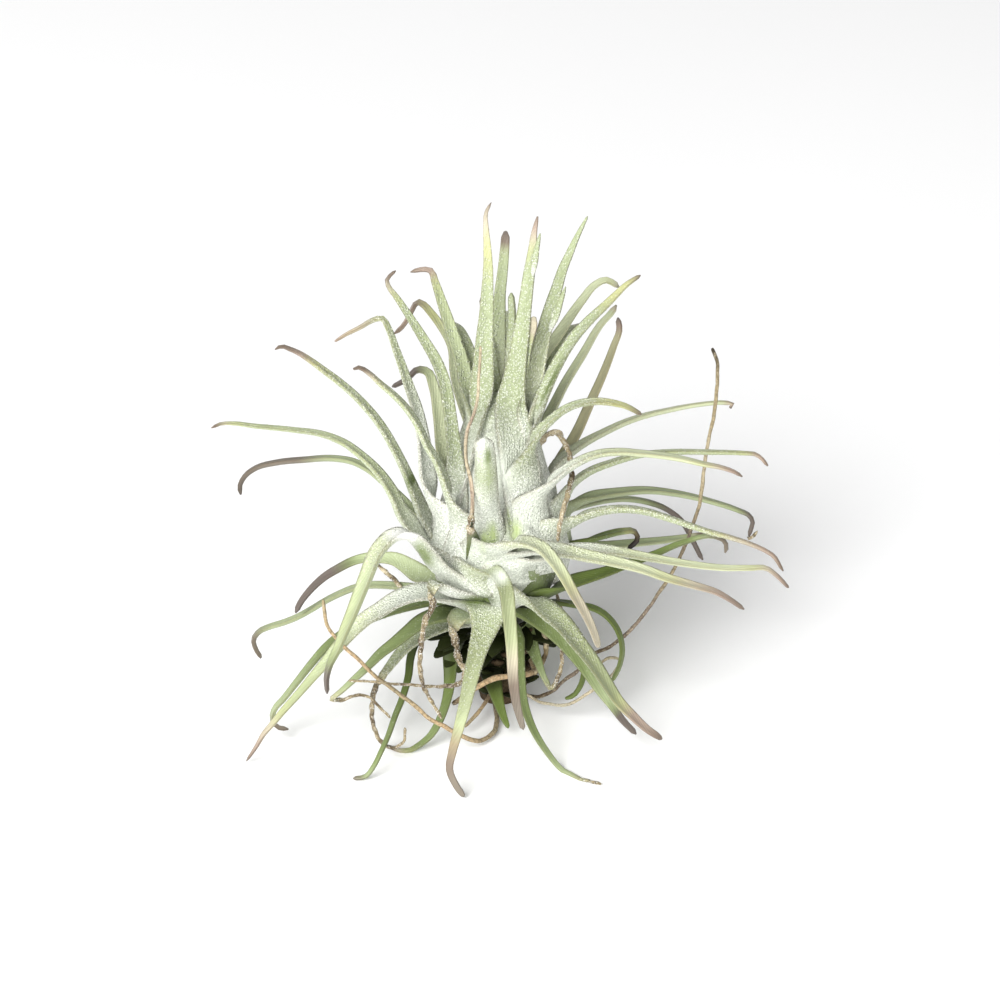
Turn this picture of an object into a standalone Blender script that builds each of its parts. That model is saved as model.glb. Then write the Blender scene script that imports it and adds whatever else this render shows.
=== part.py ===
"""A sky plant: a small air plant that stands on its own stub and on the tips of its lowest leaves.

The crown holds the young upright leaves, which have grown together at their bases. The older
leaves arch out round it, the dried ones hang below, and wiry roots leave the stub.
"""

import math

import bmesh
import bpy
import numpy as np
from mathutils import Vector

# Driving dimensions. All lengths below are in millimetres, and MM turns them into metres.
MM = 0.001
CROWN_RADIUS = 10.3     # widest part of the crown, where the leaf bases wrap round it
CROWN_BOTTOM = 14.3
CROWN_TOP = 48.0
STEM_TOP = 14.0
FOOT_RADIUS = 3.0       # flat underside of the stub, which stands on the table
CLEARANCE = 0.3         # gap between pieces that touch on the plant
MERGE = 0.0004          # corners closer than this are one
BLADE = 0.74            # least thickness of a leaf
FOLD = 0.3              # how far a leaf's edges rise above its middle, as a share of its width
LIP = 0.68              # width of the channel, as a share of the leaf's
LEAST_WIDTH = 0.62
CROWN_SIDES = 24
STEM_SIDES = 14
WRAPS = 6               # leaf bases wrapped round the crown, seen at any height
WRAP_STEP = 0.8         # how far each wrapped base stands out over the next
WRAP_TWIST = math.radians(4.5)      # turn of the wraps round the crown for each millimetre up
LEAN = 0.012            # the crown bends back by this share of its height squared
LEAN_FROM = 28.0
WRAPS_LOW = 15.1        # the wraps show between these heights
WRAPS_HIGH = 44.0
RING_STEP = 6.0         # longest stretch of leaf between two rings
RING_TURN = math.radians(31)
LEAST_RINGS = 4
PATH_SAMPLES = 240      # points of the fine line that the rings are picked from
ROOT_STEP = 2.2
OLD_BASES = 9           # torn bases of dropped leaves round the stub
OLD_BASE_START = math.radians(100)
OLD_BASE_LOWEST = 2.2
OLD_BASE_PITCH = 0.9    # height from one to the next
OLD_BASE_REACH = (2.5, 5.6)
OLD_BASE_RISE = 1.6
OLD_BASE_WIDTHS = [3.4, 2.8, 1.2]
SPIRAL = math.radians(137.5)        # turn from one leaf of a spiral to the next
HIDDEN_SPREAD = math.radians(18)

# Leaf and root lines are drawn as they are seen by an eye in front of the plant, EYE_TILT above
# the table's plane and EYE_REACH from the plant's middle, which is EYE_MIDDLE above the table.
# A point is (across, up) in millimetres on the sheet through the plant's axis that faces the eye.
# Its depth says how far in front of that sheet it lies.
EYE_TILT = math.radians(30)
EYE_REACH = 500.0
EYE_MIDDLE = 33.0
ON_TABLE = "on table"   # a depth that puts the point on the table

# The turned core of the crown and the stub, as (radius, height).
CROWN_PROFILE = [
    (0, CROWN_TOP), (1.4, CROWN_TOP - 0.6), (3.2, 45.5), (4.6, 41.5), (5.7, 37.5), (7.2, 33), (8.7, 29),
    (CROWN_RADIUS - WRAP_STEP, 25.4), (8.9, 22.3), (7.3, 19.4), (5.4, 16.9), (4.4, CROWN_BOTTOM), (0, CROWN_BOTTOM),
]
STEM_PROFILE = [
    (0, STEM_TOP), (4.2, STEM_TOP), (4.3, 11), (3.9, 7), (3.4, 3), (FOOT_RADIUS, 0), (0, 0),
]

# Each leaf is its line from base to tip, its depths and its widths. Depths and widths are spread
# evenly along the line. A line starts inside the crown or the stub, whose surface then trims it.
UPRIGHT_LEAVES = {
    "long_spike": (
        [(-4.5, -3), (-6, 2), (-6.7, 8), (-7.2, 12), (-7.8, 16), (-9, 19.5), (-11, 23), (-13, 26.2),
         (-15, 29.2), (-15.9, 30.4), (-16.2, 31.4), (-15.6, 32.2), (-14.7, 32.9)],
        [2, 5, 6, 6, 6, 6], [3.2, 2.4, 2, 1.8, 1.3, 0.8]),
    "bent_spike": (
        [(-3, 6), (-4.6, 15), (-5.5, 19.5), (-6.3, 22), (-7.3, 25), (-8.3, 28), (-9.3, 31), (-10, 32.8),
         (-11.3, 32.9), (-13, 32.5)],
        [1, 2, 1, 0, 0], [3, 2.4, 2, 1.8, 1.3, 0.8]),
    "hook_behind": (
        [(-2, 4), (-4.1, 10), (-6.5, 18), (-7, 22), (-8.5, 24.8), (-10, 26.8), (-11, 27.9), (-11.8, 28.3),
         (-12.6, 27.2), (-13.2, 26), (-14, 24.8), (-15.2, 23.7)],
        [0, -2, -5, -7, -8], [2.6, 2, 1.5, 1.3, 0.8]),
    "tallest": (
        [(-2.8, 3), (-3, 10), (-2.6, 15), (-2.4, 19), (-2.2, 23), (-1.9, 27), (-1.8, 30), (-1.7, 33),
         (-1.8, 36), (-2, 39), (-2, 41), (-1.2, 42.6)],
        [2, 4, 6, 8, 9], [4, 3.9, 3.4, 2.8, 2.2, 1.6, 1, 0.7]),
    "back_blunt": (
        [(-0.3, 8), (-0.3, 17), (-0.2, 22), (-0.1, 26), (0, 29.5), (0.3, 32), (0.6, 35), (0.8, 38.6)],
        [-1, 1, 1, 0, -1], [3, 2.4, 2, 1.6, 1.2]),
    "short_pale": (
        [(1.2, 14), (1.7, 23), (1.8, 26), (1.6, 29.7)], [0, 4, 5], [2.2, 1.8, 1.1]),
    "middle": (
        [(0.4, 4), (1, 12), (2, 16), (2.6, 20), (3.2, 24), (3.7, 28), (4.2, 32), (4.7, 35.5),
         (4.9, 38), (5.4, 40.6)],
        [3, 5, 7, 8, 9], [4.2, 4, 3.5, 2.6, 1.9, 1.4, 0.8]),
    "young": ([(2.4, 10), (3.3, 19), (4, 23), (5, 26.3)], [4, 9, 10], [2, 1.4, 0.8]),
    "right": (
        [(2.6, 4), (4.3, 13), (5, 17), (5.7, 20.5), (6.2, 23), (6.8, 25.5), (7.5, 28), (8.3, 30.5),
         (9, 32.8), (10, 35.2), (11, 37.5), (12.6, 40.7)],
        [1, 3, 4, 5, 6], [3.4, 3, 2.6, 2.3, 1.8, 1.4, 0.7]),
    "arch_behind": (
        [(1.6, 6), (3.4, 13), (6, 20.5), (8, 23), (10, 26), (12, 28.8), (13.5, 30.6), (15.2, 31.4), (16.3, 30.9),
         (17.1, 30.3)],
        [0, -2, -3, -4], [3.4, 3, 2.2, 1.5, 1]),
    "spike_right": (
        [(4.4, 6), (5.5, 13), (6.8, 16.3), (8, 18.8), (9.5, 21.5), (11, 23.6), (13, 25.8), (15, 27.7),
         (16.5, 29.2), (18, 30.7), (20.2, 32.2)],
        [3, 5, 6, 7, 7], [3.2, 2.8, 2.2, 1.8, 1.4, 0.8]),
    "olive_behind": (
        [(4, 4), (6.5, 11), (8, 14), (9, 16), (12, 21), (14.5, 25.2), (16.7, 28)],
        [0, -3, -5, -7], [2.8, 2, 1.7, 1.1]),
}

LEAVES = {
    "leaf_left_high": (
        [(-6, -5.5), (-9, -4.4), (-10.7, -2.4), (-12, 0.5), (-13, 3), (-15, 7.2), (-17, 10.6), (-20, 14.2),
         (-25, 18.4), (-30, 21.6), (-31.3, 22), (-32.3, 21.4)],
        [-4, -1, 2, 4, 5, 5], [3, 2.8, 2.1, 1.8, 1.6, 1.3, 0.8]),
    "leaf_left_middle": (
        [(-8, -7.5), (-10.7, -5.8), (-12.5, -3.9), (-14, -2), (-15, 0.3), (-17, 3.5), (-20, 6.5), (-22, 8),
         (-25, 9.3), (-30, 10.1), (-35, 10.6), (-38.5, 11), (-40, 10.9), (-41.4, 10.2)],
        [0, 4, 5, 6, 5, 5], [3.6, 3.4, 2.4, 1.6, 1.1, 0.9, 0.7]),
    "leaf_left_behind": (
        [(-7, -6), (-12, -2), (-15.5, 1.5), (-19, 4.5), (-21, 5.5), (-24, 6), (-28, 5.8), (-32, 5.4),
         (-35, 4.6), (-36.5, 3.5), (-37.3, 1.8), (-37, 0.6)],
        [-4, -7, -10, -13, -15, -16], [2.2, 1.7, 1.4, 1.3, 1.2, 0.8]),
    "leaf_left_short": (
        [(-5, -4), (-7, 0), (-7.8, 2.5), (-9, 5.5), (-10.5, 8), (-11.5, 10.3), (-13, 12.7), (-15, 14.9),
         (-17, 16.6), (-19, 18.4), (-20.1, 19), (-21, 18.7)],
        [4, 8, 10, 11, 12], [3, 2.6, 1.9, 1.6, 1.4, 0.9]),
    "leaf_left_hook": (
        [(-5, -2), (-8, 6), (-8.8, 12), (-9.5, 16), (-10.6, 18.4), (-11.8, 18.6), (-13.3, 17.3),
         (-15.6, 16.1)],
        [-2, -6, -9, -11, -12], [3, 2.2, 2, 1.6, 0.8]),
    "leaf_left_bent": (
        [(-6, -3.5), (-9, -1), (-10.4, 3), (-11, 8), (-12, 13), (-13, 16), (-14, 19), (-15, 21.8),
         (-16, 24.6), (-16.9, 26), (-18, 25.8), (-20, 24.7), (-22, 23.7), (-23.7, 22.6)],
        [1, 2, 3, 4, 4, 4], [3.4, 3.3, 2.6, 2, 1.4, 1, 0.7]),
    "leaf_right_behind": (
        [(5, -2), (9, 6), (11, 9.5), (12.8, 13.5), (14.8, 18), (16.3, 22), (17.1, 24.5), (16.8, 26.2)],
        [-5, -9, -12, -14, -15], [2.6, 2.2, 1.9, 1.5, 0.9]),
    "leaf_toward_eye": (
        [(-2, -6), (-2, -2), (-2, 2), (-2.1, 6), (-2.3, 9)], [5, 9, 14, 19, 23], [2.8, 2.4, 2.4, 1.8, 1.1]),
    "leaf_dry_thread": (
        [(-4, -7.8), (-4, -5.8), (-4.2, -3.6), (-4, -2), (-4, 0), (-4.2, 3), (-4.8, 5.5), (-4.9, 8),
         (-4.6, 10), (-3.8, 12), (-3.3, 14), (-3, 18), (-2.8, 22)],
        [4.5, 11.5, 12, 12, 12, 12], [2.2, 1.5, 0.8, 0.7, 0.7, 0.62]),
    "leaf_right_short": (
        [(3, 2), (3.8, 6), (5, 9), (7, 11.2), (9, 12.8), (11, 13.7), (13.5, 14.1), (16, 13.9),
         (18, 13.4), (20.3, 12.2)],
        [4, 8, 9, 10, 11], [3, 2.8, 2, 1.4, 1.3, 0.8]),
    "leaf_right_long": (
        [(5, 0), (9, 6), (12, 8.2), (15, 9.8), (18, 11.2), (21, 12.2), (24, 12.9), (27, 13.5),
         (30, 13.9), (32, 14), (33.3, 13.7), (32.7, 12.9)],
        [-2, -4, -8, -11, -14, -15], [2.6, 2, 1.6, 1.4, 1.1, 0.9]),
    "leaf_right_channelled": (
        [(3, -4), (5, 0), (8, 3.3), (11, 5.4), (14, 6.6), (17, 6.9), (20, 6.7), (23, 6.4), (26, 5.9),
         (29, 5.2), (32, 4.6), (34, 3.8), (34.8, 3.2)],
        [4, 7, 8, 8, 8, 8], [3, 2.4, 1.8, 1.5, 1.3, 0.8]),
    "leaf_right_level": (
        [(6, -4), (8.5, -1), (10, 2), (12.5, 4), (16, 5.4), (20, 6.5), (24, 6.9), (30, 6.9),
         (35, 6.75), (36.5, 6.6), (37.6, 5.8), (38.3, 4.8)],
        [1, 1, 2, 3, 4, 4], [2.4, 2, 1.5, 1.2, 1, 0.7]),
    "leaf_right_elbow": (
        [(5, -6), (8, -3), (10, -0.9), (13, 0.4), (17, 1.1), (21, 1.4), (25, 1), (28, 0.4), (31, -0.4),
         (34, -1.4), (35.8, -2.3), (36.2, -3), (36, -4), (35.5, -5.4)],
        [-2, -5, -8, -11, -13, -14], [2.4, 1.8, 1.6, 1.4, 1.1, 0.9]),
    "leaf_right_far": (
        [(4, -4), (8, -2), (13, -0.4), (18, 0.2), (21, -0.2), (24, -1.3), (26.2, -3.2), (27.6, -5.8),
         (29, -8.6)],
        [-6, -12, -17, -21, -23], [2.2, 1.6, 1.4, 1.5, 0.8]),
    "leaf_right_tipped": (
        [(5, -7), (8, -4.2), (10, -3.2), (12, -2.2), (15, -1.4), (18, -1.2), (21, -1.6), (24, -2.5),
         (27, -3.5), (30, -4.5), (33, -5.3), (35.5, -6.1), (38, -7.2), (39.2, -8), (40, -9.3),
         (40.5, -10.2)],
        [3, 4, 4, 4, 4, 4], [3, 2.4, 2, 1.7, 1.4, 1.1, 0.7]),
    "leaf_right_dark_hook": (
        [(6, -8), (10, -6.5), (12, -5.9), (15, -5), (18, -4.4), (19.2, -4.4), (19.8, -5.4), (19, -6.5),
         (18.3, -7)],
        [-2, -3, -4, -5], [2.2, 1.6, 1.4, 0.9]),
    "leaf_right_back": (
        [(5, -8), (10, -6.8), (15, -6.6), (19, -6.2), (23, -5.8), (27, -5.3), (29.5, -4.9)],
        [-7, -9, -12, -15], [2, 1.5, 1.3, 0.8]),
    "leaf_right_under": (
        [(4.5, -14), (6.5, -13.2), (9, -12.2), (12, -11.3), (15, -10.4), (18, -9.3), (22.5, -7.6),
         (25, -6.5), (27, -5.8), (29, -5.2), (31, -5.3), (32.2, -6), (32.4, -6.8), (32.1, -7.7)],
        [-1, 1, 2, 2, 2], [2.4, 2, 1.5, 1.1, 0.7]),
    "leaf_right_front": (
        [(1, -11), (2.4, -9.4), (5, -8.3), (7, -7.8), (10, -7.2), (13, -7), (16, -7.3), (20, -8),
         (24, -8.7), (28, -9.3), (32, -9.7), (36, -9.7), (38, -9.7), (39.5, -10.7), (41.4, -12.7)],
        [5, 7.5, 8, 8, 7, 6], [3, 2.5, 1.8, 1.5, 1.2, 1, 0.8]),
    "leaf_right_near": (
        [(-0.6, -10.2), (1, -8.1), (4, -7), (8, -7.2), (12, -8), (16, -8.8), (20, -9.8), (24, -11.2),
         (28, -12.3), (31, -13.2), (33, -14.3), (35, -15.7)],
        [5, 11, 13, 13, 13], [3, 2.4, 1.9, 1.6, 1.3, 0.8]),
    "leaf_front_right_droop": (
        [(-1.8, -8.1), (-0.6, -7), (0.6, -6.4), (2, -6), (4, -6.1), (6, -7), (7.5, -8.6), (9, -10.8),
         (10.5, -13.5), (12, -16), (13.2, -18.5), (14.2, -21.3)],
        [5, 14, 17, 18, 18, 17], [3, 3.4, 2.6, 2, 1.7, 1.2]),
    "leaf_front_centre_droop": (
        [(-5.2, -12.6), (-4.2, -11), (-3, -10.1), (-1, -10.3), (0.2, -11.5), (0.8, -13), (1.2, -16),
         (1.5, -19), (1.7, -22), (1.8, -25), (2, -27), (2.3, -29), (2.8, -31), (3.4, -33)],
        [0, 9, 13, 13, 12, 10, 8], [3.6, 3.4, 2.4, 2, 1.7, 1.4, 0.8]),
    "leaf_front_left_droop": (
        [(-1.6, -13.2), (-1.8, -16), (-2.2, -18.5), (-3, -21), (-3.8, -24), (-4.5, -27), (-5.2, -30),
         (-6, -33), (-6.8, -36), (-7.2, -38.5), (-6.4, -40.5), (-5.1, -42.4)],
        [0, 5, 8, 9, 9, ON_TABLE], [4.2, 3.2, 2.4, 1.9, 1.5, 1.1, 0.7]),
    "leaf_front_right_wide": (
        [(1, -12), (3, -13.5), (5, -14.5), (7, -16.2), (9, -18), (11, -20.5), (13, -23), (15, -26),
         (17, -29), (19, -31), (21, -32.8), (23.2, -34.2)],
        [2, 5, 7, 7, 6, 5], [3.2, 3, 2.4, 1.9, 1.5, 0.9]),
    "leaf_front_right_under": (
        [(2, -15), (5, -17), (8, -19.5), (10, -21.7), (12, -24.2), (14, -27), (16, -29.5), (17.5, -31.5),
         (19.6, -33.6)],
        [0, 1, 2, 1, 0], [2.2, 1.8, 1.5, 1.3, 0.8]),
    "leaf_front_thin": (
        [(0, -15), (1.8, -19), (2.6, -24), (3.3, -29), (4.8, -33), (6.6, -35.9), (9.7, -39.4),
         (11.4, -40.6), (12.8, -40.6), (14.5, -40.6)],
        [-4, -2, 0, 2, ON_TABLE, ON_TABLE], [2.2, 1.6, 1.2, 0.9, 0.66]),
    "leaf_front_pointed": (
        [(1.5, -16), (3, -18), (4.5, -21), (5.5, -23.5), (6.5, -25.8), (7.3, -26.9), (8, -26),
         (8.7, -24), (8.9, -20.5), (9.2, -18)],
        [-9, -6, -4, -4, -4.5], [2, 1.7, 0.9, 0.7, 0.64]),
    "leaf_low_spike": (
        [(-1.8, -21.6), (-1, -26), (-0.2, -29), (0.5, -31), (1.2, -32.6)], [-12, -8, -6], [2, 1.6, 0.8]),
    "leaf_right_loop": (
        [(3.5, -14.5), (8, -14.5), (11, -15), (13.5, -15.5), (15.5, -16.8), (17, -19), (17.5, -21.5),
         (17, -24), (16, -26)],
        [-5, -4, -3, -3, -3], [1.8, 1.3, 1.1, 0.7]),
    "leaf_right_low": (
        [(3, -16.6), (7, -16.6), (10.2, -18.6), (11.6, -21.5), (12, -24.5), (11.4, -26.7), (10.4, -28),
         (9.3, -28.4)],
        [-10, -8, -7, -7, -7], [1.8, 1.2, 1, 0.7]),
    "leaf_left_front_arch": (
        [(-7, -10.8), (-9.3, -9.1), (-11, -6.8), (-13.2, -4.8), (-15, -5), (-16.5, -6.2), (-17.8, -8),
         (-18.8, -10.5), (-19.8, -13), (-21, -16), (-22.3, -19), (-23.3, -21.5), (-24.3, -23.5),
         (-24.8, -25.5), (-24.7, -27.8)],
        [2, 11, 14, 15, 14, 13], [3.2, 3, 2.4, 2, 1.6, 1.2, 0.8]),
    "leaf_left_purple": (
        [(-8, -12), (-11, -11), (-13, -9.6), (-15, -8.5), (-17, -8.3), (-19, -8.3), (-21, -8.8),
         (-23, -9.8), (-25, -11), (-27, -12.8), (-28.5, -14.7), (-29.3, -16.3)],
        [-1, -5, -8, -10, -11], [3, 2.2, 1.6, 1.4, 0.9]),
    "leaf_left_curl": (
        [(-5, -13.5), (-9, -12.9), (-13, -12.5), (-16, -12.2), (-19, -12.2), (-21, -12.6), (-23, -13.4),
         (-25, -14.4), (-27, -15.6), (-29, -16.7), (-31, -17.5), (-33, -18.1), (-34.5, -18.8),
         (-35.3, -20), (-35, -21.3), (-34, -22.8)],
        [-7, -9, -12, -14, -15], [2, 1.5, 1.3, 1.2, 0.8]),
    "leaf_left_low_wide": (
        [(-4.5, -14.5), (-9, -13.5), (-11, -13.3), (-13, -13.7), (-15, -14.5), (-17, -15.8), (-19, -17),
         (-21, -18.8), (-23, -21), (-25, -23.4), (-27, -25.7), (-29, -28), (-31, -30.2), (-32.5, -32),
         (-33.8, -33.5), (-34.8, -35.2), (-36.3, -37.4)],
        [-1, 4, 5, 5, 4, 2, ON_TABLE], [3.4, 3.2, 2.8, 2.2, 1.5, 1.1, 0.7]),
    "leaf_left_low_behind": (
        [(-5, -14.2), (-9, -14.4), (-13, -15.2), (-18, -16.8), (-23, -19.5), (-25, -21.2), (-27, -23.5), (-29, -26),
         (-31, -28.5), (-32.3, -30), (-32.6, -31.3), (-32, -32.4), (-30, -32.8)],
        [-4.5, -4, -2, -1, -3, -5], [2, 2, 1.7, 1.3, 0.8]),
    "leaf_left_low_torn": (
        [(-4, -16.2), (-9, -16.7), (-11, -17.4), (-13, -18.9), (-15, -20.5), (-17, -22), (-19, -24),
         (-21, -25.8), (-23, -27.6), (-24.1, -28.5), (-22.5, -28.5), (-20.5, -27.9), (-18.4, -28.3),
         (-17.3, -29.5), (-15.5, -31.3)],
        [-5, 0, 2, 2, 1, 0], [2.4, 2.5, 1.9, 1.2, 0.7, 0.62]),
    "leaf_left_low_twisted": (
        [(-3.5, -16.5), (-8, -17.8), (-10, -18.7), (-12, -19.9), (-14, -21.7), (-15.5, -23.5),
         (-16.8, -25.2), (-17.8, -26.8), (-18.2, -28.4), (-18.3, -30), (-18, -32.5), (-17.2, -34.3),
         (-15.2, -35.4), (-13.8, -34.6), (-13.6, -32.5)],
        [-8, -5, -4, -2, 0, 1], [2.4, 2.5, 1.9, 1, 0.7, 0.62]),
    "leaf_left_thin": (
        [(-3.5, -17.5), (-9.5, -18.5), (-12, -20.5), (-12.7, -22.5), (-13, -25), (-13.8, -28),
         (-15, -31), (-16, -33.8), (-17, -36), (-18, -38), (-19.2, -39.5), (-21, -39.8)],
        [-12, -11, -8, -3, 3, ON_TABLE], [1.8, 1.3, 1.2, 1, 0.8, 0.64]),
    "leaf_left_loop": (
        [(-2, -18), (-5.6, -19), (-6.8, -22), (-7, -25), (-7.2, -27), (-7.8, -29.5), (-8.7, -31.8),
         (-10, -33.8), (-11.5, -35), (-13.3, -35.9), (-16.5, -35)],
        [-10, -7, -6, -4, -3, -3], [2.2, 1.8, 1.4, 1, 0.66]),
    "leaf_pale_dry_tail": (
        [(-5, -13.4), (-7.4, -12.8), (-9.3, -12.1), (-9.9, -13.4), (-9.6, -15), (-10.6, -17), (-11, -19),
         (-11.3, -21), (-11.3, -25), (-11, -26.5), (-10.2, -28), (-8.3, -31.3)],
        [1.5, 8, 9, 8, 7, 6], [2.2, 2, 1.1, 0.8, 0.7, 0.64]),
    "leaf_stub_dry_tail": (
        [(-2.5, -16.4), (-6, -17.1), (-6.8, -18.5), (-6.4, -20), (-6.2, -21.5), (-5.8, -23), (-4.9, -24.5),
         (-5.8, -26.2), (-7.5, -26.6), (-10, -26.6), (-13, -26.4), (-16, -26.2), (-19, -25.9),
         (-21.8, -25.8)],
        [-1, 2.5, 4, 5, 6.5, 6.5], [2.4, 1.3, 0.8, 0.64, 0.62]),
    "leaf_right_dry_strand": (
        [(4, 5), (6.2, 9), (8, 9.7), (9.3, 8), (10, 6), (10.2, 3), (9.9, 2), (9.6, 0.5), (9, -1.5),
         (8.5, -3.5), (8.3, -6)],
        [1.5, 2, 3.6, 5, 6.5, 7.5], [0.9, 0.9, 0.9, 0.7]),
}

# Leaves that are not pale green: those that grew in the shade, and the one that has dried out.
OLIVE_LEAVES = {
    "leaf_left_behind", "leaf_left_hook", "leaf_left_purple", "leaf_left_curl", "leaf_left_thin",
    "leaf_left_loop", "leaf_right_behind", "leaf_right_elbow", "leaf_right_far",
    "leaf_right_dark_hook", "leaf_right_back", "leaf_right_loop", "leaf_right_low",
    "leaf_front_right_under", "leaf_low_spike",
}
DRY_LEAVES = {"leaf_right_dry_strand"}

# Leaves behind the crown: share of the spread, reach and height along the arch, widths.
HIDDEN_LEAVES = [
    (-0.65, [(3, 17.5), (9, 19), (16, 15), (21, 7), (24, 2)], [2.6, 2.2, 1.7, 1.3, 0.8]),
    (0.62, [(3, 20), (10, 25), (18, 23), (26, 14), (31, 7)], [2.8, 2.4, 1.8, 1.3, 0.8]),
    (-1.1, [(3, 22), (11, 29), (20, 24), (27, 9), (30, 0)], [3, 2.6, 2, 1.4, 0.8]),
    (-0.55, [(3, 30), (10, 39), (19, 42), (29, 37), (35, 30)], [3, 2.5, 1.9, 1.4, 0.8]),
    (0.0, [(3, 25), (12, 33), (22, 32), (31, 25), (36, 18)], [3, 2.6, 2, 1.4, 0.8]),
    (0.5, [(3, 31), (8, 40), (15, 45), (23, 43), (29, 37)], [2.8, 2.3, 1.8, 1.3, 0.8]),
    (1.0, [(3, 22), (11, 30), (20, 27), (28, 12), (31, 0)], [3, 2.6, 2, 1.4, 0.8]),
    (0.3, [(3, 18), (9, 20), (16, 17), (22, 8), (25, 1)], [2.6, 2.2, 1.7, 1.3, 0.8]),
]

# Young leaves on the far side of the crown, which have grown together with it, in the same terms.
HIDDEN_UPRIGHT = [
    (-1.1, [(2, 36), (7, 45), (12, 50), (17, 52), (22, 51)], [3.2, 2.6, 2, 1.5, 0.8]),
    (-0.5, [(2, 38), (6, 47), (11, 54), (17, 57)], [3.4, 2.8, 2, 1.4, 0.8]),
    (0.1, [(2, 34), (8, 43), (15, 49), (23, 51), (29, 48)], [3.2, 2.6, 2, 1.5, 0.8]),
    (0.8, [(2, 38), (6, 47), (11, 54), (17, 57)], [3.4, 2.8, 2, 1.4, 0.8]),
    (1.6, [(2, 35), (8, 43.4), (14, 48.4), (20, 51), (25, 50)], [3, 2.6, 2, 1.5, 0.8]),
]

# Each root is its line, its depths and its thickness at the stub and at its far end.
ROOTS = {
    "root_left_long": (
        [(-1, -28), (-0.5, -30.5), (-0.8, -33), (-3, -34.4), (-5, -33.9), (-6.5, -33.2), (-8, -32.3),
         (-10, -31.3), (-12, -29.5), (-14, -28), (-16, -26.5), (-18, -25), (-20, -23), (-22, -21.2),
         (-23.5, -19.7), (-24.6, -18), (-25.1, -16), (-25.3, -14)],
        [-14, -5, 0, 2, 5, 8, 9], 0.75, 0.62),
    "root_right_long": (
        [(2, -27.5), (6, -28), (7.5, -27.3), (9, -25.9), (11, -24.5), (12.3, -23.2), (13.5, -21.9),
         (15, -21.3), (17, -20), (19, -18.2), (20.5, -16.4), (22, -14.3), (23.7, -11.8), (24.8, -10),
         (26, -7.5), (27, -5), (27.8, -2.8), (28.6, -0.3), (28.9, 2), (29.2, 5), (29.5, 7), (30, 9.5),
         (30.6, 12.5), (30.9, 15), (31.1, 18), (31, 20), (30.1, 22)],
        [-15, -9, -5, -1, -1, -2, -3], 0.7, 0.75),
    "root_stub_thick": (
        [(4, -22), (4.8, -24.5), (3.8, -24.9), (2.5, -25.2), (1, -25.2), (-0.5, -25.4), (-2, -26),
         (-3.2, -26.7), (-5, -28), (-7, -29.3)],
        [-13, -7, -6, -6], 0.9, 0.75),
    "root_small": (
        [(-1.6, -26.6), (-1.6, -28.2), (-2.3, -29.2), (-3, -30.2), (-4, -31.3), (-5, -32.5)],
        [-14, -9, -6], 0.7, 0.62),
    "root_loop": (
        [(0, -26.5), (2.7, -27.1), (4, -27.9), (6, -28.9), (8, -29.3), (10, -29.1), (12, -28),
         (13.5, -27), (15, -25.8), (16.5, -24.3), (17.2, -22.9), (15.5, -22.6), (14, -23.6)],
        [-16, -12, -9, -6, -5, -6], 0.64, 0.62),
}


def table_depth(up):
    """Depth that puts a drawn point half a blade above the table."""
    rise = BLADE / 2 - EYE_MIDDLE - math.cos(EYE_TILT) * up
    return rise / (math.sin(EYE_TILT) - math.cos(EYE_TILT) * up / EYE_REACH)


def to_plant(across, up, depth):
    """Plant coordinates of drawn points, in millimetres."""
    shrink = (EYE_REACH - depth) / EYE_REACH
    x = shrink * across
    y = shrink * up * math.sin(EYE_TILT) - depth * math.cos(EYE_TILT)
    z = EYE_MIDDLE + shrink * up * math.cos(EYE_TILT) + depth * math.sin(EYE_TILT)
    return np.column_stack([x, y, np.maximum(z, BLADE / 2)])


def smooth_through(knots, values, at):
    """Values at the given places of a smooth curve through the values at the knots."""
    knots = np.asarray(knots, float)
    values = np.asarray(values, float).reshape(len(knots), -1)
    step = np.diff(knots)[:, None]
    slope = np.diff(values, axis=0) / step
    middle = (slope[:-1] * step[1:] + slope[1:] * step[:-1]) / (step[:-1] + step[1:])
    tangent = np.vstack([slope[:1], middle, slope[-1:]])
    i = np.clip(np.searchsorted(knots, at, side="right") - 1, 0, len(knots) - 2)
    h = step[i]
    u = (np.asarray(at)[:, None] - knots[i][:, None]) / h
    start = values[i] * (1 + 2 * u) * (1 - u) ** 2 + tangent[i] * h * u * (1 - u) ** 2
    end = values[i + 1] * u * u * (3 - 2 * u) + tangent[i + 1] * h * u * u * (u - 1)
    return start + end


def distance_along(points):
    """Running length at each point of a line, starting at 0."""
    points = np.asarray(points, float)
    return np.concatenate([[0], np.cumsum(np.linalg.norm(np.diff(points, axis=0), axis=1))])


def spread(values, length, at):
    """Values given evenly along a line, read at the places on it."""
    return smooth_through(np.linspace(0, length, len(values)), values, at)[:, 0]


def drawn_path(line, depths):
    """A fine smooth path in the plant's frame through a drawn line."""
    knots = distance_along(line)
    at = np.linspace(0, knots[-1], PATH_SAMPLES)
    across, up = smooth_through(knots, line, at).T
    stops = np.linspace(0, knots[-1], len(depths))
    ups = smooth_through(knots, line, stops)[:, 1]
    filled = [table_depth(u) if d == ON_TABLE else d for d, u in zip(depths, ups)]
    return to_plant(across, up, spread(filled, knots[-1], at))


def ring_places(path):
    """Indices of the path's points that carry a ring: more where the path bends."""
    steps = np.diff(path, axis=0)
    lengths = np.linalg.norm(steps, axis=1)
    ways = steps / lengths[:, None]
    turns = np.concatenate([[0], np.arccos(np.clip((ways[1:] * ways[:-1]).sum(axis=1), -1, 1))])
    worth = np.concatenate([[0], np.cumsum(lengths / RING_STEP + turns / RING_TURN)])
    count = max(LEAST_RINGS, math.ceil(worth[-1]))
    return np.searchsorted(worth, np.linspace(0, worth[-1], count + 1)).clip(0, len(path) - 1)


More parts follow.
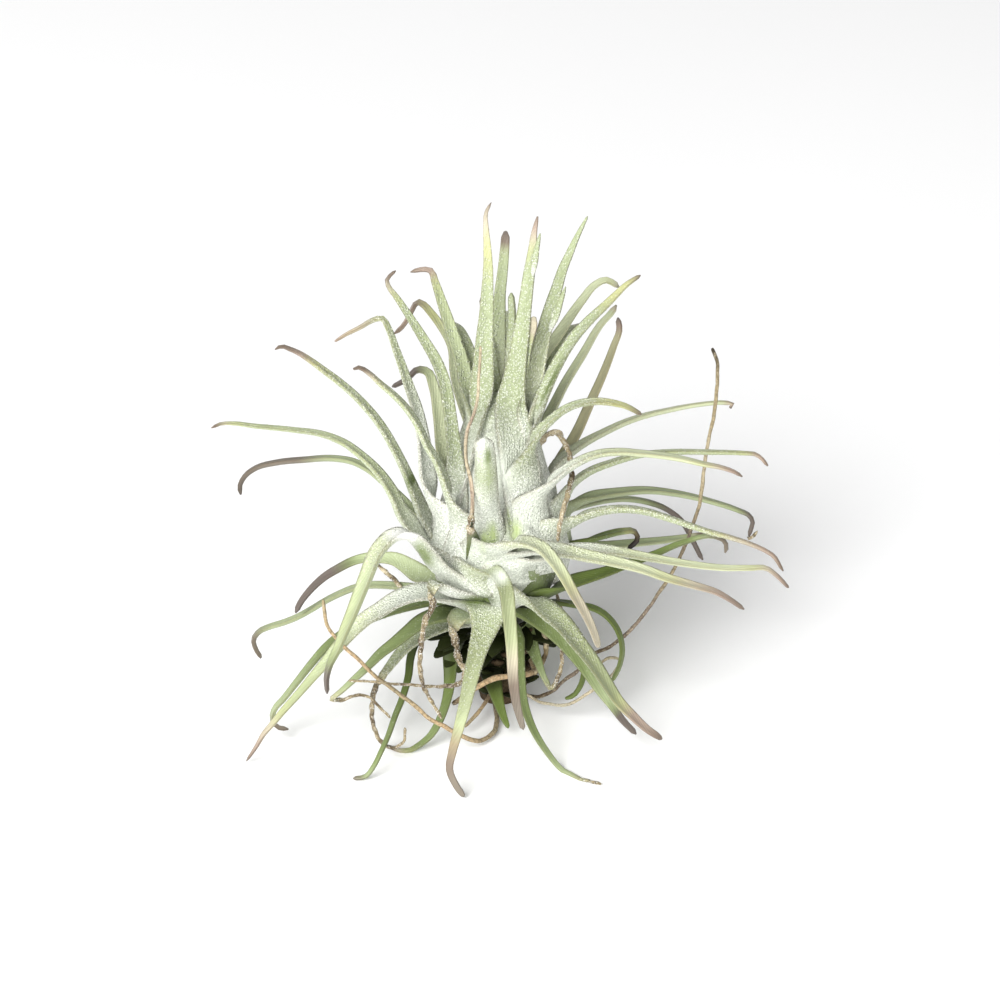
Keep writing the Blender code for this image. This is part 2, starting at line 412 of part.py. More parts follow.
def leaf_section(width):
    """Corners of a channelled leaf's section, as (aside, inward)."""
    width = max(width, LEAST_WIDTH)
    half = width / 2
    rise = FOLD * width
    keel = -BLADE / 2 - rise / 2
    channel = keel + BLADE
    edge = (half, keel + rise)
    lip = (LIP * half, channel + LIP * rise)
    return [(0, keel), edge, lip, (0, channel), (-lip[0], lip[1]), (-edge[0], edge[1])]


def loft_leaf(name, path, widths):
    """A closed leaf along the path, its channel facing the plant's axis at the base."""
    path_length = distance_along(path)
    width_at = spread(widths, path_length[-1], path_length)
    outward = Vector((path[len(path) // 2] - path[0]) * (1, 1, 0))
    side = outward.normalized().cross(Vector((0, 0, 1)))
    mesh = bmesh.new()
    rings = []
    for i in ring_places(path):
        along = Vector(path[min(i + 1, len(path) - 1)] - path[max(i - 1, 0)]).normalized()
        side = (side - along * side.dot(along)).normalized()
        inward = side.cross(along)
        centre = Vector(path[i])
        ring = []
        for aside, lift in leaf_section(width_at[i]):
            corner = centre + side * aside + inward * lift
            corner.z = max(corner.z, 0)
            ring.append(mesh.verts.new(corner * MM))
        rings.append(ring)
    corners = len(rings[0])
    for low, high in zip(rings, rings[1:]):
        for k in range(corners):
            n = (k + 1) % corners
            mesh.faces.new((low[k], low[n], high[n], high[k]))
    mesh.faces.new(rings[0][::-1])
    mesh.faces.new(rings[-1])
    bmesh.ops.triangulate(mesh, faces=mesh.faces[:])
    bmesh.ops.recalc_face_normals(mesh, faces=mesh.faces[:])
    data = bpy.data.meshes.new(name)
    mesh.to_mesh(data)
    mesh.free()
    return bpy.data.objects.new(name, data)


def wrapped(solid):
    """The turned crown with the steps of the wrapped leaf bases, and bent back toward its top."""
    for corner in solid.data.vertices:
        x, y, z = corner.co / MM
        if WRAPS_LOW < z < WRAPS_HIGH:
            turn = math.atan2(y, x) + WRAP_TWIST * z
            step = WRAP_STEP * ((turn * WRAPS / math.tau) % 1)
            share = 1 + step / math.hypot(x, y)
            x, y = x * share, y * share
        y += LEAN * max(z - LEAN_FROM, 0) ** 2
        corner.co = Vector((x, y, z)) * MM
    return solid


def turned(name, profile, sides, swell=0.0):
    """A solid turned round the Z axis from a profile that runs from its top down."""
    data = bpy.data.meshes.new(name)
    points = []
    for k, (radius, height) in enumerate(profile):
        lift = swell if k < len(profile) / 2 else -swell
        points.append(((radius + swell) * MM if radius else 0, 0, (height + lift) * MM))
    data.from_pydata(points, [(i, i + 1) for i in range(len(points) - 1)], [])
    solid = bpy.data.objects.new(name, data)
    screw = solid.modifiers.new("turn", "SCREW")
    screw.steps = sides
    screw.render_steps = sides
    screw.use_merge_vertices = True
    screw.merge_threshold = 0.00001
    return as_mesh(solid)


def root_tube(name, line, depths, thick, thin):
    """A wiry root: a bevelled curve that thins toward its far end."""
    path = drawn_path(line, depths)
    along = distance_along(path)
    count = math.ceil(along[-1] / ROOT_STEP) + 1
    stops = np.linspace(0, along[-1], count)
    curve = bpy.data.curves.new(name, "CURVE")
    curve.dimensions = "3D"
    curve.bevel_depth = MM / 2
    curve.bevel_resolution = 1
    curve.use_fill_caps = True
    spline = curve.splines.new("POLY")
    spline.points.add(count - 1)
    for k, point in enumerate(smooth_through(along, path, stops)):
        spline.points[k].co = (*(point * MM), 1)
        spline.points[k].radius = thick + (thin - thick) * k / (count - 1)
    wire = bpy.data.objects.new(name, curve)
    return as_mesh(wire)


def evaluated_mesh(source):
    """The object's mesh with its modifiers applied."""
    if source.name not in bpy.context.scene.collection.all_objects:
        bpy.context.scene.collection.objects.link(source)
    bpy.context.view_layer.update()
    return bpy.data.meshes.new_from_object(source.evaluated_get(bpy.context.evaluated_depsgraph_get()))


def drop_scraps(mesh):
    """Keep the largest body: what a union leaves loose or seals inside goes."""
    left = set(mesh.verts)
    bodies = []
    while left:
        grown = {left.pop()}
        edge_of = list(grown)
        while edge_of:
            corner = edge_of.pop()
            near = {edge.other_vert(corner) for edge in corner.link_edges} & left
            left -= near
            grown |= near
            edge_of.extend(near)
        bodies.append(grown)
    bodies.sort(key=len)
    for body in bodies[:-1]:
        bmesh.ops.delete(mesh, geom=list(body), context="VERTS")


def as_mesh(source):
    """The source as a plain welded mesh object with the same name and place."""
    data = evaluated_mesh(source)
    mesh = bmesh.new()
    mesh.from_mesh(data)
    bmesh.ops.remove_doubles(mesh, verts=mesh.verts[:], dist=MERGE * MM)
    drop_scraps(mesh)
    bmesh.ops.recalc_face_normals(mesh, faces=mesh.faces[:])
    mesh.to_mesh(data)
    mesh.free()
    name = source.name
    place = source.matrix_world.copy()
    bpy.data.objects.remove(source)
    data.name = name
    solid = bpy.data.objects.new(name, data)
    solid.matrix_world = place
    return solid


def fused(base, pieces):
    """The base joined with the pieces in one Boolean union."""
    group = bpy.data.collections.new(base.name + "_repeats")
    bpy.context.scene.collection.children.link(group)
    for piece in pieces:
        group.objects.link(piece)
    bpy.context.scene.collection.objects.link(base)
    union = base.modifiers.new("join", "BOOLEAN")
    union.operation = "UNION"
    union.operand_type = "COLLECTION"
    union.collection = group
    union.solver = "MANIFOLD"
    joined = as_mesh(base)
    for piece in pieces:
        bpy.data.objects.remove(piece)
    bpy.data.collections.remove(group)
    return joined


def trimmed(solid, cutters):
    """The solid without what lies inside the cutters."""
    for cutter in cutters:
        cut = solid.modifiers.new("trim at " + cutter.name, "BOOLEAN")
        cut.operation = "DIFFERENCE"
        cut.object = cutter
        cut.solver = "MANIFOLD"
    return as_mesh(solid)


def hidden_leaf_path(share, arch):
    """A leaf behind the crown: its share of the spread, and its arch as reach and height."""
    angle = math.radians(90) - share * HIDDEN_SPREAD
    knots = distance_along(arch)
    reach, height = smooth_through(knots, arch, np.linspace(0, knots[-1], PATH_SAMPLES)).T
    height = np.maximum(height, BLADE / 2)
    return np.column_stack([reach * math.cos(angle), reach * math.sin(angle), height])


def old_base_path(k):
    """A torn leaf base on the stub, one of a spiral round it."""
    angle = OLD_BASE_START + k * SPIRAL
    height = OLD_BASE_LOWEST + k * OLD_BASE_PITCH
    reach = np.linspace(*OLD_BASE_REACH, PATH_SAMPLES)
    lift = np.linspace(height, height + OLD_BASE_RISE, PATH_SAMPLES)
    return np.column_stack([reach * math.cos(angle), reach * math.sin(angle), lift])


def material(name, colour, roughness):
    """A plain surface of one colour."""
    surface = bpy.data.materials.new(name)
    surface.use_nodes = True
    shader = surface.node_tree.nodes["Principled BSDF"]
    shader.inputs["Base Color"].default_value = (*colour, 1)
    shader.inputs["Roughness"].default_value = roughness
    shader.inputs["Metallic"].default_value = 0
    return surface


def build():
    for stale in list(bpy.data.objects):
        bpy.data.objects.remove(stale)
    parts = bpy.data.collections.new("sky_plant")
    cutters = bpy.data.collections.new("cutters")
    for group in (parts, cutters):
        bpy.context.scene.collection.children.link(group)

    def keep(solid, surface):
        for group in list(solid.users_collection):
            group.objects.unlink(solid)
        parts.objects.link(solid)
        solid.data.materials.clear()
        solid.data.materials.append(surface)

    crown_cutter = wrapped(turned("crown_clearance", CROWN_PROFILE, CROWN_SIDES, CLEARANCE))
    stem_cutter = turned("stem_clearance", STEM_PROFILE, STEM_SIDES, CLEARANCE)
    for cutter in (crown_cutter, stem_cutter):
        cutters.objects.link(cutter)
        cutter.hide_render = True
        cutter.display_type = "WIRE"

    upright = [loft_leaf("upright_" + name, drawn_path(line, depths), widths)
               for name, (line, depths, widths) in UPRIGHT_LEAVES.items()]
    upright += [loft_leaf(f"upright_back_{k}", hidden_leaf_path(share, arch), widths)
                for k, (share, arch, widths) in enumerate(HIDDEN_UPRIGHT)]
    crown = fused(wrapped(turned("crown", CROWN_PROFILE, CROWN_SIDES)), upright)
    keep(crown, material("frosted_white_green", (0.72, 0.78, 0.66), 0.8))

    bases = [loft_leaf(f"base_{k}", old_base_path(k), OLD_BASE_WIDTHS) for k in range(OLD_BASES)]
    stem = fused(turned("stem", STEM_PROFILE, STEM_SIDES), bases)
    keep(stem, material("dry_brown", (0.24, 0.18, 0.1), 0.9))

    pale_green = material("pale_green", (0.5, 0.58, 0.36), 0.7)
    olive_green = material("olive_green", (0.27, 0.32, 0.14), 0.7)
    dry_tan = material("dry_tan", (0.42, 0.3, 0.18), 0.85)
    for name, (line, depths, widths) in LEAVES.items():
        leaf = loft_leaf(name, drawn_path(line, depths), widths)
        surface = olive_green if name in OLIVE_LEAVES else dry_tan if name in DRY_LEAVES else pale_green
        keep(trimmed(leaf, [crown_cutter, stem_cutter]), surface)
    for k, (share, arch, widths) in enumerate(HIDDEN_LEAVES):
        leaf = loft_leaf(f"leaf_back_{k + 1}", hidden_leaf_path(share, arch), widths)
        keep(trimmed(leaf, [crown_cutter, stem_cutter]), pale_green)

    for name, (line, depths, thick, thin) in ROOTS.items():
        root = root_tube(name, line, depths, thick, thin)
        keep(trimmed(root, [crown_cutter, stem_cutter]), dry_tan)


build()
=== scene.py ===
# %% [markdown]
# # An air plant in its dress
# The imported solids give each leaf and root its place. This lesson puts a finer blade over each of
# them: a channelled leaf with a round keel, a coat of tiny white scales, and a dried tip. The first
# cell loads the solids as a fixed frame, which nothing here moves.

# %% The frame
import math
from functools import partial

import bpy
import numpy as np
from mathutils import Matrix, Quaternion, Vector, noise


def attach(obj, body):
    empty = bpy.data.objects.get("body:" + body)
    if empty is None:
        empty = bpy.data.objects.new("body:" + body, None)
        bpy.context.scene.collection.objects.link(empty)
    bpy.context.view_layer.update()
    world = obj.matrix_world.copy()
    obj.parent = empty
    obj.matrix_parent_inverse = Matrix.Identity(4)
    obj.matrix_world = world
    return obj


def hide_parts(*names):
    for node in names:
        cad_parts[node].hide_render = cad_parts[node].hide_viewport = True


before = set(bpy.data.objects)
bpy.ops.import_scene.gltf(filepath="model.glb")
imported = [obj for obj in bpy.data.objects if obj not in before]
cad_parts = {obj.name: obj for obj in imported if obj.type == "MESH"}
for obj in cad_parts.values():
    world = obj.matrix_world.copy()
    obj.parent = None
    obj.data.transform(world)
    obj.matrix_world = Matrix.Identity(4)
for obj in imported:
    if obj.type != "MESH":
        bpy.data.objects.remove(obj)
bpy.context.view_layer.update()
scene = bpy.context.scene
MM = 0.001
print("solids to dress:", len(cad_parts))

# %% [markdown]
# ## The eye
# The photograph looks down on the plant by 30 degrees from half a metre away, through a long lens.
# A sheet 143 mm wide through the plant's axis fills the picture, which fixes the focal length.
# Every leaf line below is drawn on that sheet, as across and up in millimetres.

# %% Camera
EYE_TILT = math.radians(30)
EYE_REACH = 500.0
EYE_MIDDLE = 33.0
SHEET_WIDTH = 1000 / 7
eye = bpy.data.objects.new("eye", bpy.data.cameras.new("eye"))
scene.collection.objects.link(eye)
eye.location = (0, -EYE_REACH * math.cos(EYE_TILT) * MM, (EYE_MIDDLE + EYE_REACH * math.sin(EYE_TILT)) * MM)
eye.rotation_euler = (math.pi / 2 - EYE_TILT, 0, 0)
eye.data.sensor_width = 36
eye.data.lens = eye.data.sensor_width * EYE_REACH / SHEET_WIDTH
eye.data.clip_start = 0.01
scene.camera = eye
print("focal length", round(eye.data.lens), "mm")

# %% [markdown]
# ## Floor and light
# The plant stands on bright white paper. One big soft box stands to the front left, so the shade
# falls to the right and behind. A weaker one in front and a white sky lift the shade, and the
# standard view keeps white white.

# %% Floor, soft boxes and sky
FLOOR_SIZE = 4.0
FLOOR_WHITE = 0.9
KEY_POWER = 44.0
KEY_SIZE = 1.25
KEY_REACH = 1.6
KEY_WAY = Vector((-0.44, -0.66, 0.62)).normalized()
SKY_POWER = 0.235
FILL_POWER = 18.5
FILL_SIZE = 1.2
FILL_WAY = Vector((0.12, -0.95, 0.3)).normalized()

floor_mesh = bpy.data.meshes.new("paper")
corner = FLOOR_SIZE / 2
floor_mesh.from_pydata([(-corner, -corner, 0), (corner, -corner, 0), (corner, corner, 0),
                        (-corner, corner, 0)], [], [(0, 1, 2, 3)])
paper = bpy.data.objects.new("paper", floor_mesh)
scene.collection.objects.link(paper)
paper_white = bpy.data.materials.new("paper_white")
paper_white.use_nodes = True
paper_shader = paper_white.node_tree.nodes["Principled BSDF"]
paper_shader.inputs["Base Color"].default_value = (FLOOR_WHITE, FLOOR_WHITE, FLOOR_WHITE, 1)
paper_shader.inputs["Roughness"].default_value = 1
paper_shader.inputs["Specular IOR Level"].default_value = 0
floor_mesh.materials.append(paper_white)


def soft_box(name, way, size, power):
    """A round soft box on the given side of the plant, facing it."""
    box = bpy.data.objects.new(name, bpy.data.lights.new(name, "AREA"))
    box.data.shape = "DISK"
    box.data.size = size
    box.data.energy = power
    box.location = way * KEY_REACH
    box.rotation_euler = way.to_track_quat("Z", "Y").to_euler()
    scene.collection.objects.link(box)
    return box


key = soft_box("key", KEY_WAY, KEY_SIZE, KEY_POWER)
soft_box("fill", FILL_WAY, FILL_SIZE, FILL_POWER)

sky = bpy.data.worlds.new("sky")
sky.use_nodes = True
sky.node_tree.nodes["Background"].inputs["Color"].default_value = (1, 1, 1, 1)
sky.node_tree.nodes["Background"].inputs["Strength"].default_value = SKY_POWER
scene.world = sky
scene.view_settings.view_transform = "Standard"
scene.view_settings.look = "None"
print("soft box at", [round(v, 2) for v in key.location])

# %% [markdown]
# ## Colours
# A leaf runs from near white at the crown, where the scales lie thickest, through pale green to
# yellow, and dries to pink, brown or grey at its tip. The colours are named once, as a painter
# would mix them, in the usual 0 to 255, and turned to linear light for the shader.

# %% Paints
PAINTS = {
    "white": (255, 255, 250),
    "frosted": (227, 232, 217),
    "pale": (184, 194, 152),
    # Painted shade and light: sage is pale made darker for the upright leaves that face the lamps, celadon
    # is pale made lighter for leaves that lie in shade.
    "sage_painted_shade": (164, 174, 134),
    "celadon_painted_light": (206, 213, 174),
    "butter": (170, 179, 136),
    "fresh": (190, 206, 144),
    "olive": (172, 183, 142),
    "khaki": (200, 196, 158),
    "moss": (124, 138, 88),
    "deep": (98, 114, 54),
    # Painted shade: near black, for the places under the crown that the leaves shade.
    "shade": (27, 32, 12),
    "yellow": (186, 188, 134),
    "cream": (188, 180, 156),
    "pink": (164, 146, 131),
    "brown": (121, 107, 93),
    "grey": (125, 116, 103),
    "purple": (104, 95, 88),
    "tan": (150, 136, 105),
    "straw": (188, 175, 147),
    "amber": (190, 162, 124),
    "umber": (88, 74, 56),
    "black": (31, 25, 20),
    # Painted shade: reed is butter made darker for the faces of the front droops that turn to the lamps.
    "reed": (150, 158, 118),
    # Painted shade: a near black green for the bases under the crown.
    "night": (48, 55, 26),
}
PAINT_DEPTH = 0.87      # a paint is named as it looks in full light, which is brighter than the skin


def linear(paint):
    """A named paint as the linear colour of the skin."""
    seen = np.array(PAINTS[paint]) / 255
    return PAINT_DEPTH * np.where(seen <= 0.04045, seen / 12.92, ((seen + 0.055) / 1.055) ** 2.4)


# From its crown end to the start of its tip, each tone of leaf runs through these paints. The tones that
# start with shade are painted shade at the crown end, where the crown shades the leaf; dark and bark
# carry the same painted shade on the stub.
TONES = {
    "white": ["frosted", "frosted", "frosted", "pale"],
    "frosted": ["frosted", "pale", "pale", "pale"],
    "pale": ["frosted", "pale", "pale", "butter"],
    "olive": ["pale", "olive", "olive", "olive"],
    "moss": ["deep", "moss", "moss", "olive"],
    "deep": ["shade", "deep", "deep", "moss"],
    "dry": ["tan", "straw", "straw", "tan", "umber", "tan", "straw", "tan"],
    "bark": ["umber", "shade", "umber", "umber"],
    "dark": ["shade", "shade", "night"],
    "khaki": ["pale", "khaki", "khaki", "khaki"],
    # upright, behind, celadon and bright mix the painted shade of sage and the painted light of celadon.
    "upright": ["frosted", "sage_painted_shade", "sage_painted_shade", "sage_painted_shade"],
    "behind": ["frosted", "celadon_painted_light", "sage_painted_shade", "sage_painted_shade"],
    "celadon_painted_light": ["frosted", "celadon_painted_light", "celadon_painted_light", "celadon_painted_light"],
    "crest": ["frosted", "frosted", "frosted", "celadon_painted_light", "pale", "butter", "butter"],
    "smooth": ["frosted", "pale", "reed", "reed", "reed"],
    "shaded": ["shade", "shade", "deep", "moss", "moss"],
    "fuzzy": ["frosted", "frosted", "pale", "frosted"],
    "hood": ["frosted", "frosted", "pale", "pale", "reed", "reed", "reed"],
    "gloom": ["shade", "shade", "deep", "deep"],
    "dusted": ["frosted", "frosted", "frosted", "pale", "pale"],
    "bright": ["frosted", "celadon_painted_light", "sage_painted_shade", "sage_painted_shade"],
    # Frosted at the crown, then celadon: painted light on leaves that the lamps leave too dark.
    "frost_and_painted_light": ["frosted", "frosted", "frosted", "celadon_painted_light", "celadon_painted_light", "celadon_painted_light", "celadon_painted_light"],
}
FROSTS = {"white": [1, 1, 0.9], "frosted": [1, 0.8, 0.62], "pale": [0.95, 0.5, 0.34],
          "olive": [0.5, 0.12, 0.06], "moss": [0.3, 0.2, 0.1], "deep": [0.1, 0.2, 0.1], "dry": [0.4, 0.4],
          "bark": [0, 0], "dark": [0, 0], "khaki": [0.5, 0.1, 0.05],
          "smooth": [1, 0.6, 0.14, 0.05], "shaded": [0, 0.05, 0.2, 0.2], "fuzzy": [1, 0.9, 0.8, 0.8],
          "upright": [1, 0.7, 0.45], "behind": [0.9, 0.5, 0.3], "celadon_painted_light": [0.9, 0.35, 0.1],
          "crest": [0.8, 0.7, 1, 0.5, 0.1, 0.06, 0.05],
          "hood": [1, 1, 0.6, 0.16, 0.06, 0.05, 0.05], "gloom": [0, 0.05, 0.1],
          "dusted": [1, 0.9, 0.6], "bright": [1, 0.7, 0.45],
          "frost_and_painted_light": [0.8, 0.7, 0.9, 0.4, 0.1, 0.06, 0.05]}
TIPS = {
    "none": [],
    "brown": ["yellow", "cream", "brown", "brown"],
    "pink": ["yellow", "pink", "pink", "brown"],
    "rose": ["olive", "pink", "pink", "purple"],
    "purple": ["moss", "purple", "purple", "purple"],
    "cream": ["yellow", "cream", "cream", "cream"],
    "yellow": ["yellow", "yellow", "yellow", "brown"],
    "gold": ["yellow", "yellow", "brown", "pink", "brown"],
    "grey": ["olive", "grey", "grey"],
    "black": ["yellow", "umber", "black", "black"],
    "peach": ["yellow", "cream", "pink", "brown"],
    "dry": ["tan", "umber", "tan", "umber", "tan", "umber", "tan", "tan"],
    "ivory": ["yellow", "yellow", "cream", "brown"],
    "fading": ["reed", "butter", "tan", "brown", "grey", "grey"],
    "cap": ["butter", "brown", "purple"],
    "rounded": ["butter", "cream", "brown", "grey", "grey"],
    "dull": ["khaki", "khaki", "pink", "purple"],
    "dusky": ["olive", "grey", "grey", "purple"],
    "hooked": ["yellow", "yellow", "pink", "brown", "brown"],
    "light": ["yellow", "cream", "straw", "pink"],
    "thread": ["black", "straw", "pink", "straw", "straw", "pink", "straw", "straw", "straw"],
}
print("paints:", len(PAINTS))

# %% [markdown]
# ## Building node trees
# A small helper places a node, sets its values and joins what is a socket. A group gets its named
# inputs and outputs in one call, so that a tree reads top to bottom like a recipe.

# %% Node helpers
def place(tree, kind, inputs=None, **settings):
    item = tree.nodes.new(kind)
    for key, value in settings.items():
        setattr(item, key, value)
    for key, value in (inputs or {}).items():
        if isinstance(value, bpy.types.NodeSocket):
            tree.links.new(value, item.inputs[key])
        else:
            item.inputs[key].default_value = value
    return item


def calc(operation, a, b=0.5, clamp=False):
    """A Math node in the tree of whichever of a and b is a socket."""
    tree = (a if isinstance(a, bpy.types.NodeSocket) else b).id_data
    return place(tree, "ShaderNodeMath", {0: a, 1: b}, operation=operation, use_clamp=clamp).outputs[0]


plus = partial(calc, "ADD")
less = partial(calc, "SUBTRACT")
times = partial(calc, "MULTIPLY")
over = partial(calc, "DIVIDE")
power = partial(calc, "POWER")


def mix_colour(tree, share, a, b, blend="MIX"):
    mixer = place(tree, "ShaderNodeMix", {"Factor": share}, data_type="RGBA", blend_type=blend)
    for socket, value in ((mixer.inputs[6], a), (mixer.inputs[7], b)):
        if isinstance(value, bpy.types.NodeSocket):
            tree.links.new(value, socket)
        else:
            socket.default_value = value
    return mixer.outputs[2]


def new_group(name, kind, inputs, outputs):
    """A node group with named sockets: inputs as name to (type, value), outputs as name to type.

    The sockets come back too: those that are given, and those of the result.
    """
    group = bpy.data.node_groups.new(name, kind)
    for label, (socket_type, value) in inputs.items():
        socket = group.interface.new_socket(label, in_out="INPUT", socket_type=socket_type)
        if value is not None:
            socket.default_value = value
    for label, socket_type in outputs.items():
        group.interface.new_socket(label, in_out="OUTPUT", socket_type=socket_type)
    return group, group.nodes.new("NodeGroupInput").outputs, group.nodes.new("NodeGroupOutput").inputs


# %% [markdown]
# ## The frost of a leaf
# An air plant drinks through scales like tiny white discs, so its skin looks granular. Close up,
# each cell of the pattern below is one scale: white where the coat is thick, missing where it has
# rubbed off and the green shows. Faint veins run the length of the leaf. Two attributes on each
# blade, across and along, say in millimetres where on the leaf a point is.

# %% Frost group
FLOAT = "NodeSocketFloat"
COLOUR = "NodeSocketColor"
frost_coat, frost_in, frost_out = new_group(
    "frost_coat", "ShaderNodeTree",
    {"Tint": (COLOUR, None), "Frost": (FLOAT, 0.5), "Across": (FLOAT, 0.0), "Along": (FLOAT, 0.0),
     "Grains per mm": (FLOAT, 2.8), "Gap shade": (FLOAT, 0.42), "Vein spacing mm": (FLOAT, 0.45)},
    {"Color": COLOUR, "Roughness": FLOAT, "Height": FLOAT})


def object_millimetres(tree):
    at = place(tree, "ShaderNodeTexCoord").outputs["Object"]
    return place(tree, "ShaderNodeVectorMath", {0: at, "Scale": 1 / MM}, operation="SCALE").outputs[0]


def leaf_plane(tree, across, along, squeeze):
    """A flat place on the leaf, squeezed along its length so that patterns run lengthwise."""
    drawn = times(along, squeeze)
    return place(tree, "ShaderNodeCombineXYZ", {"X": across, "Y": drawn}).outputs[0]


FROST_SQUEEZE = 0.22
PATCH_SCALE = 1.3
PATCH_SPREAD = 1.7      # how far patches move the cover up and down
FROST_COVER = 0.9
FROST_EDGE = 3.0
BARE_EDGE = 2.2
DOME_TOP = 1.25
DOME_FALL = 1.9
PATCH_SHADE = 0.4
RIB_SHADE = 0.02
RIB_HEIGHT = 0.08
MOST_WHITE = 0.52
WHITE_THICK = 3.0


def build_frost(tree, given, result):
    cells = place(tree, "ShaderNodeTexVoronoi",
                  {"Vector": object_millimetres(tree), "Scale": given["Grains per mm"], "Randomness": 1.0})
    chance = place(tree, "ShaderNodeSeparateColor", {"Color": cells.outputs["Color"]}).outputs["Red"]
    patch = place(tree, "ShaderNodeTexNoise",
                  {"Vector": leaf_plane(tree, given["Across"], given["Along"], FROST_SQUEEZE),
                   "Scale": PATCH_SCALE, "Detail": 3.0, "Roughness": 0.6}).outputs["Fac"]
    loose = times(less(patch, 0.5), PATCH_SPREAD)
    cover = plus(times(given["Frost"], FROST_COVER), loose)
    there = times(less(cover, chance), FROST_EDGE, clamp=True)
    there = times(there, times(given["Frost"], BARE_EDGE, clamp=True), clamp=True)
    dome = less(DOME_TOP, times(cells.outputs["Distance"], DOME_FALL), clamp=True)
    white = times(there, dome, clamp=True)
    gap = times(times(cells.outputs["Distance"], given["Frost"]), given["Gap shade"])
    veins = calc("SINE", over(times(given["Across"], math.tau), given["Vein spacing mm"]))
    vein_shade = plus(0.96, times(veins, RIB_SHADE))
    mottle = times(vein_shade, plus(0.8, times(patch, PATCH_SHADE)))
    mottle = times(mottle, less(1.0, gap, clamp=True))
    grey = place(tree, "ShaderNodeCombineColor",
                 {"Red": mottle, "Green": mottle, "Blue": mottle}).outputs[0]
    green = mix_colour(tree, 1.0, given["Tint"], grey, "MULTIPLY")
    share = times(white, MOST_WHITE)
    thickness = power(given["Frost"], WHITE_THICK, clamp=True)
    grain = mix_colour(tree, thickness, (*linear("frosted"), 1), (*linear("white"), 1))
    colour = mix_colour(tree, share, green, grain)
    height = plus(white, times(veins, RIB_HEIGHT))
    tree.links.new(colour, result["Color"])
    tree.links.new(plus(0.5, times(white, 0.35)), result["Roughness"])
    tree.links.new(height, result["Height"])


build_frost(frost_coat, frost_in, frost_out)

# %% [markdown]
# ## Dried fibre
# Dead tissue shrinks to twisted, flaky fibre. The same group serves the dried tails, the roots and
# the woody stub: streaks along the length, darker cracks, and pale flakes of old coat.

# %% Dry fibre group
dry_fibre, dry_in, dry_out = new_group(
    "dry_fibre", "ShaderNodeTree",
    {"Tint": (COLOUR, None), "Across": (FLOAT, 0.0), "Along": (FLOAT, 0.0), "Flakes": (FLOAT, 0.4)},
    {"Color": COLOUR, "Roughness": FLOAT, "Height": FLOAT})


def build_fibre(tree, given, result):
    streaks = place(tree, "ShaderNodeTexNoise",
                    {"Vector": leaf_plane(tree, given["Across"], given["Along"], 0.5),
                     "Scale": 4.0, "Detail": 4.0, "Roughness": 0.65}).outputs["Fac"]
    spots = place(tree, "ShaderNodeTexVoronoi",
                  {"Vector": object_millimetres(tree), "Scale": 4.2, "Randomness": 1.0})
    chance = place(tree, "ShaderNodeSeparateColor", {"Color": spots.outputs["Color"]}).outputs["Green"]
    flake = times(less(given["Flakes"], chance), 4.0, clamp=True)
    flake = times(flake, less(1.0, spots.outputs["Distance"]), clamp=True)
    crack = place(tree, "ShaderNodeMapRange", {"Value": streaks, "From Min": 0.34, "From Max": 0.56,
                                               "To Min": 0.38, "To Max": 1.1}).outputs[0]
    grey = place(tree, "ShaderNodeCombineColor", {"Red": crack, "Green": crack, "Blue": crack}).outputs[0]
    brown = mix_colour(tree, 1.0, given["Tint"], grey, "MULTIPLY")
    colour = mix_colour(tree, times(flake, 0.8), brown, (*linear("straw"), 1))
    height = plus(times(streaks, 0.8), times(flake, 0.6))
    tree.links.new(colour, result["Color"])
    tree.links.new(less(0.95, times(streaks, 0.2)), result["Roughness"])
    tree.links.new(height, result["Height"])


build_fibre(dry_fibre, dry_in, dry_out)

# %% [markdown]
# ## Skins
# Every skin reads the blade's own attributes: its tint, how thick its frost is, and how dry it is.
# The leaf skin lays the frost and the fibre over each other by dryness, so a tip dries gradually.

# %% Materials
def skin(name, grains, relief, sheen, flakes, gloss=0.3):
    surface = bpy.data.materials.new(name)
    surface.use_nodes = True
    tree = surface.node_tree
    shader = tree.nodes["Principled BSDF"]

    def read(attribute, output):
        return place(tree, "ShaderNodeAttribute", attribute_name=attribute).outputs[output]

    own = {"Tint": read("tint", "Color"), "Across": read("across", "Fac"), "Along": read("along", "Fac")}
    frost = place(tree, "ShaderNodeGroup", node_tree=frost_coat)
    fibre = place(tree, "ShaderNodeGroup", node_tree=dry_fibre)
    for label, source in own.items():
        tree.links.new(source, frost.inputs[label])
        tree.links.new(source, fibre.inputs[label])
    tree.links.new(read("frost", "Fac"), frost.inputs["Frost"])
    frost.inputs["Grains per mm"].default_value = grains
    fibre.inputs["Flakes"].default_value = flakes
    dry = read("dry", "Fac")
    tree.links.new(mix_colour(tree, dry, frost.outputs["Color"], fibre.outputs["Color"]),
                   shader.inputs["Base Color"])
    for output in ("Roughness", "Height"):
        mixer = place(tree, "ShaderNodeMix",
                      {"Factor": dry, "A": frost.outputs[output], "B": fibre.outputs[output]})
        if output == "Roughness":
            tree.links.new(mixer.outputs[0], shader.inputs["Roughness"])
        else:
            bump = place(tree, "ShaderNodeBump",
                         {"Height": mixer.outputs[0], "Strength": relief, "Distance": 0.00014})
            tree.links.new(bump.outputs[0], shader.inputs["Normal"])
    shader.inputs["Specular IOR Level"].default_value = gloss
    shader.inputs["Sheen Weight"].default_value = sheen
    shader.inputs["Sheen Roughness"].default_value = 0.5
    return surface


crown_skin = skin("crown_skin", 3.2, 1.0, 0.2, 0.3)
pale_skin = skin("pale_skin", 3.4, 1.0, 0.12, 0.5)
olive_skin = skin("olive_skin", 3.4, 0.7, 0.05, 0.5)
dry_skin = skin("dry_skin", 3.0, 1.0, 0.05, 0.35)
bark_skin = skin("bark_skin", 3.0, 1.0, 0.0, 0.1, gloss=0.08)

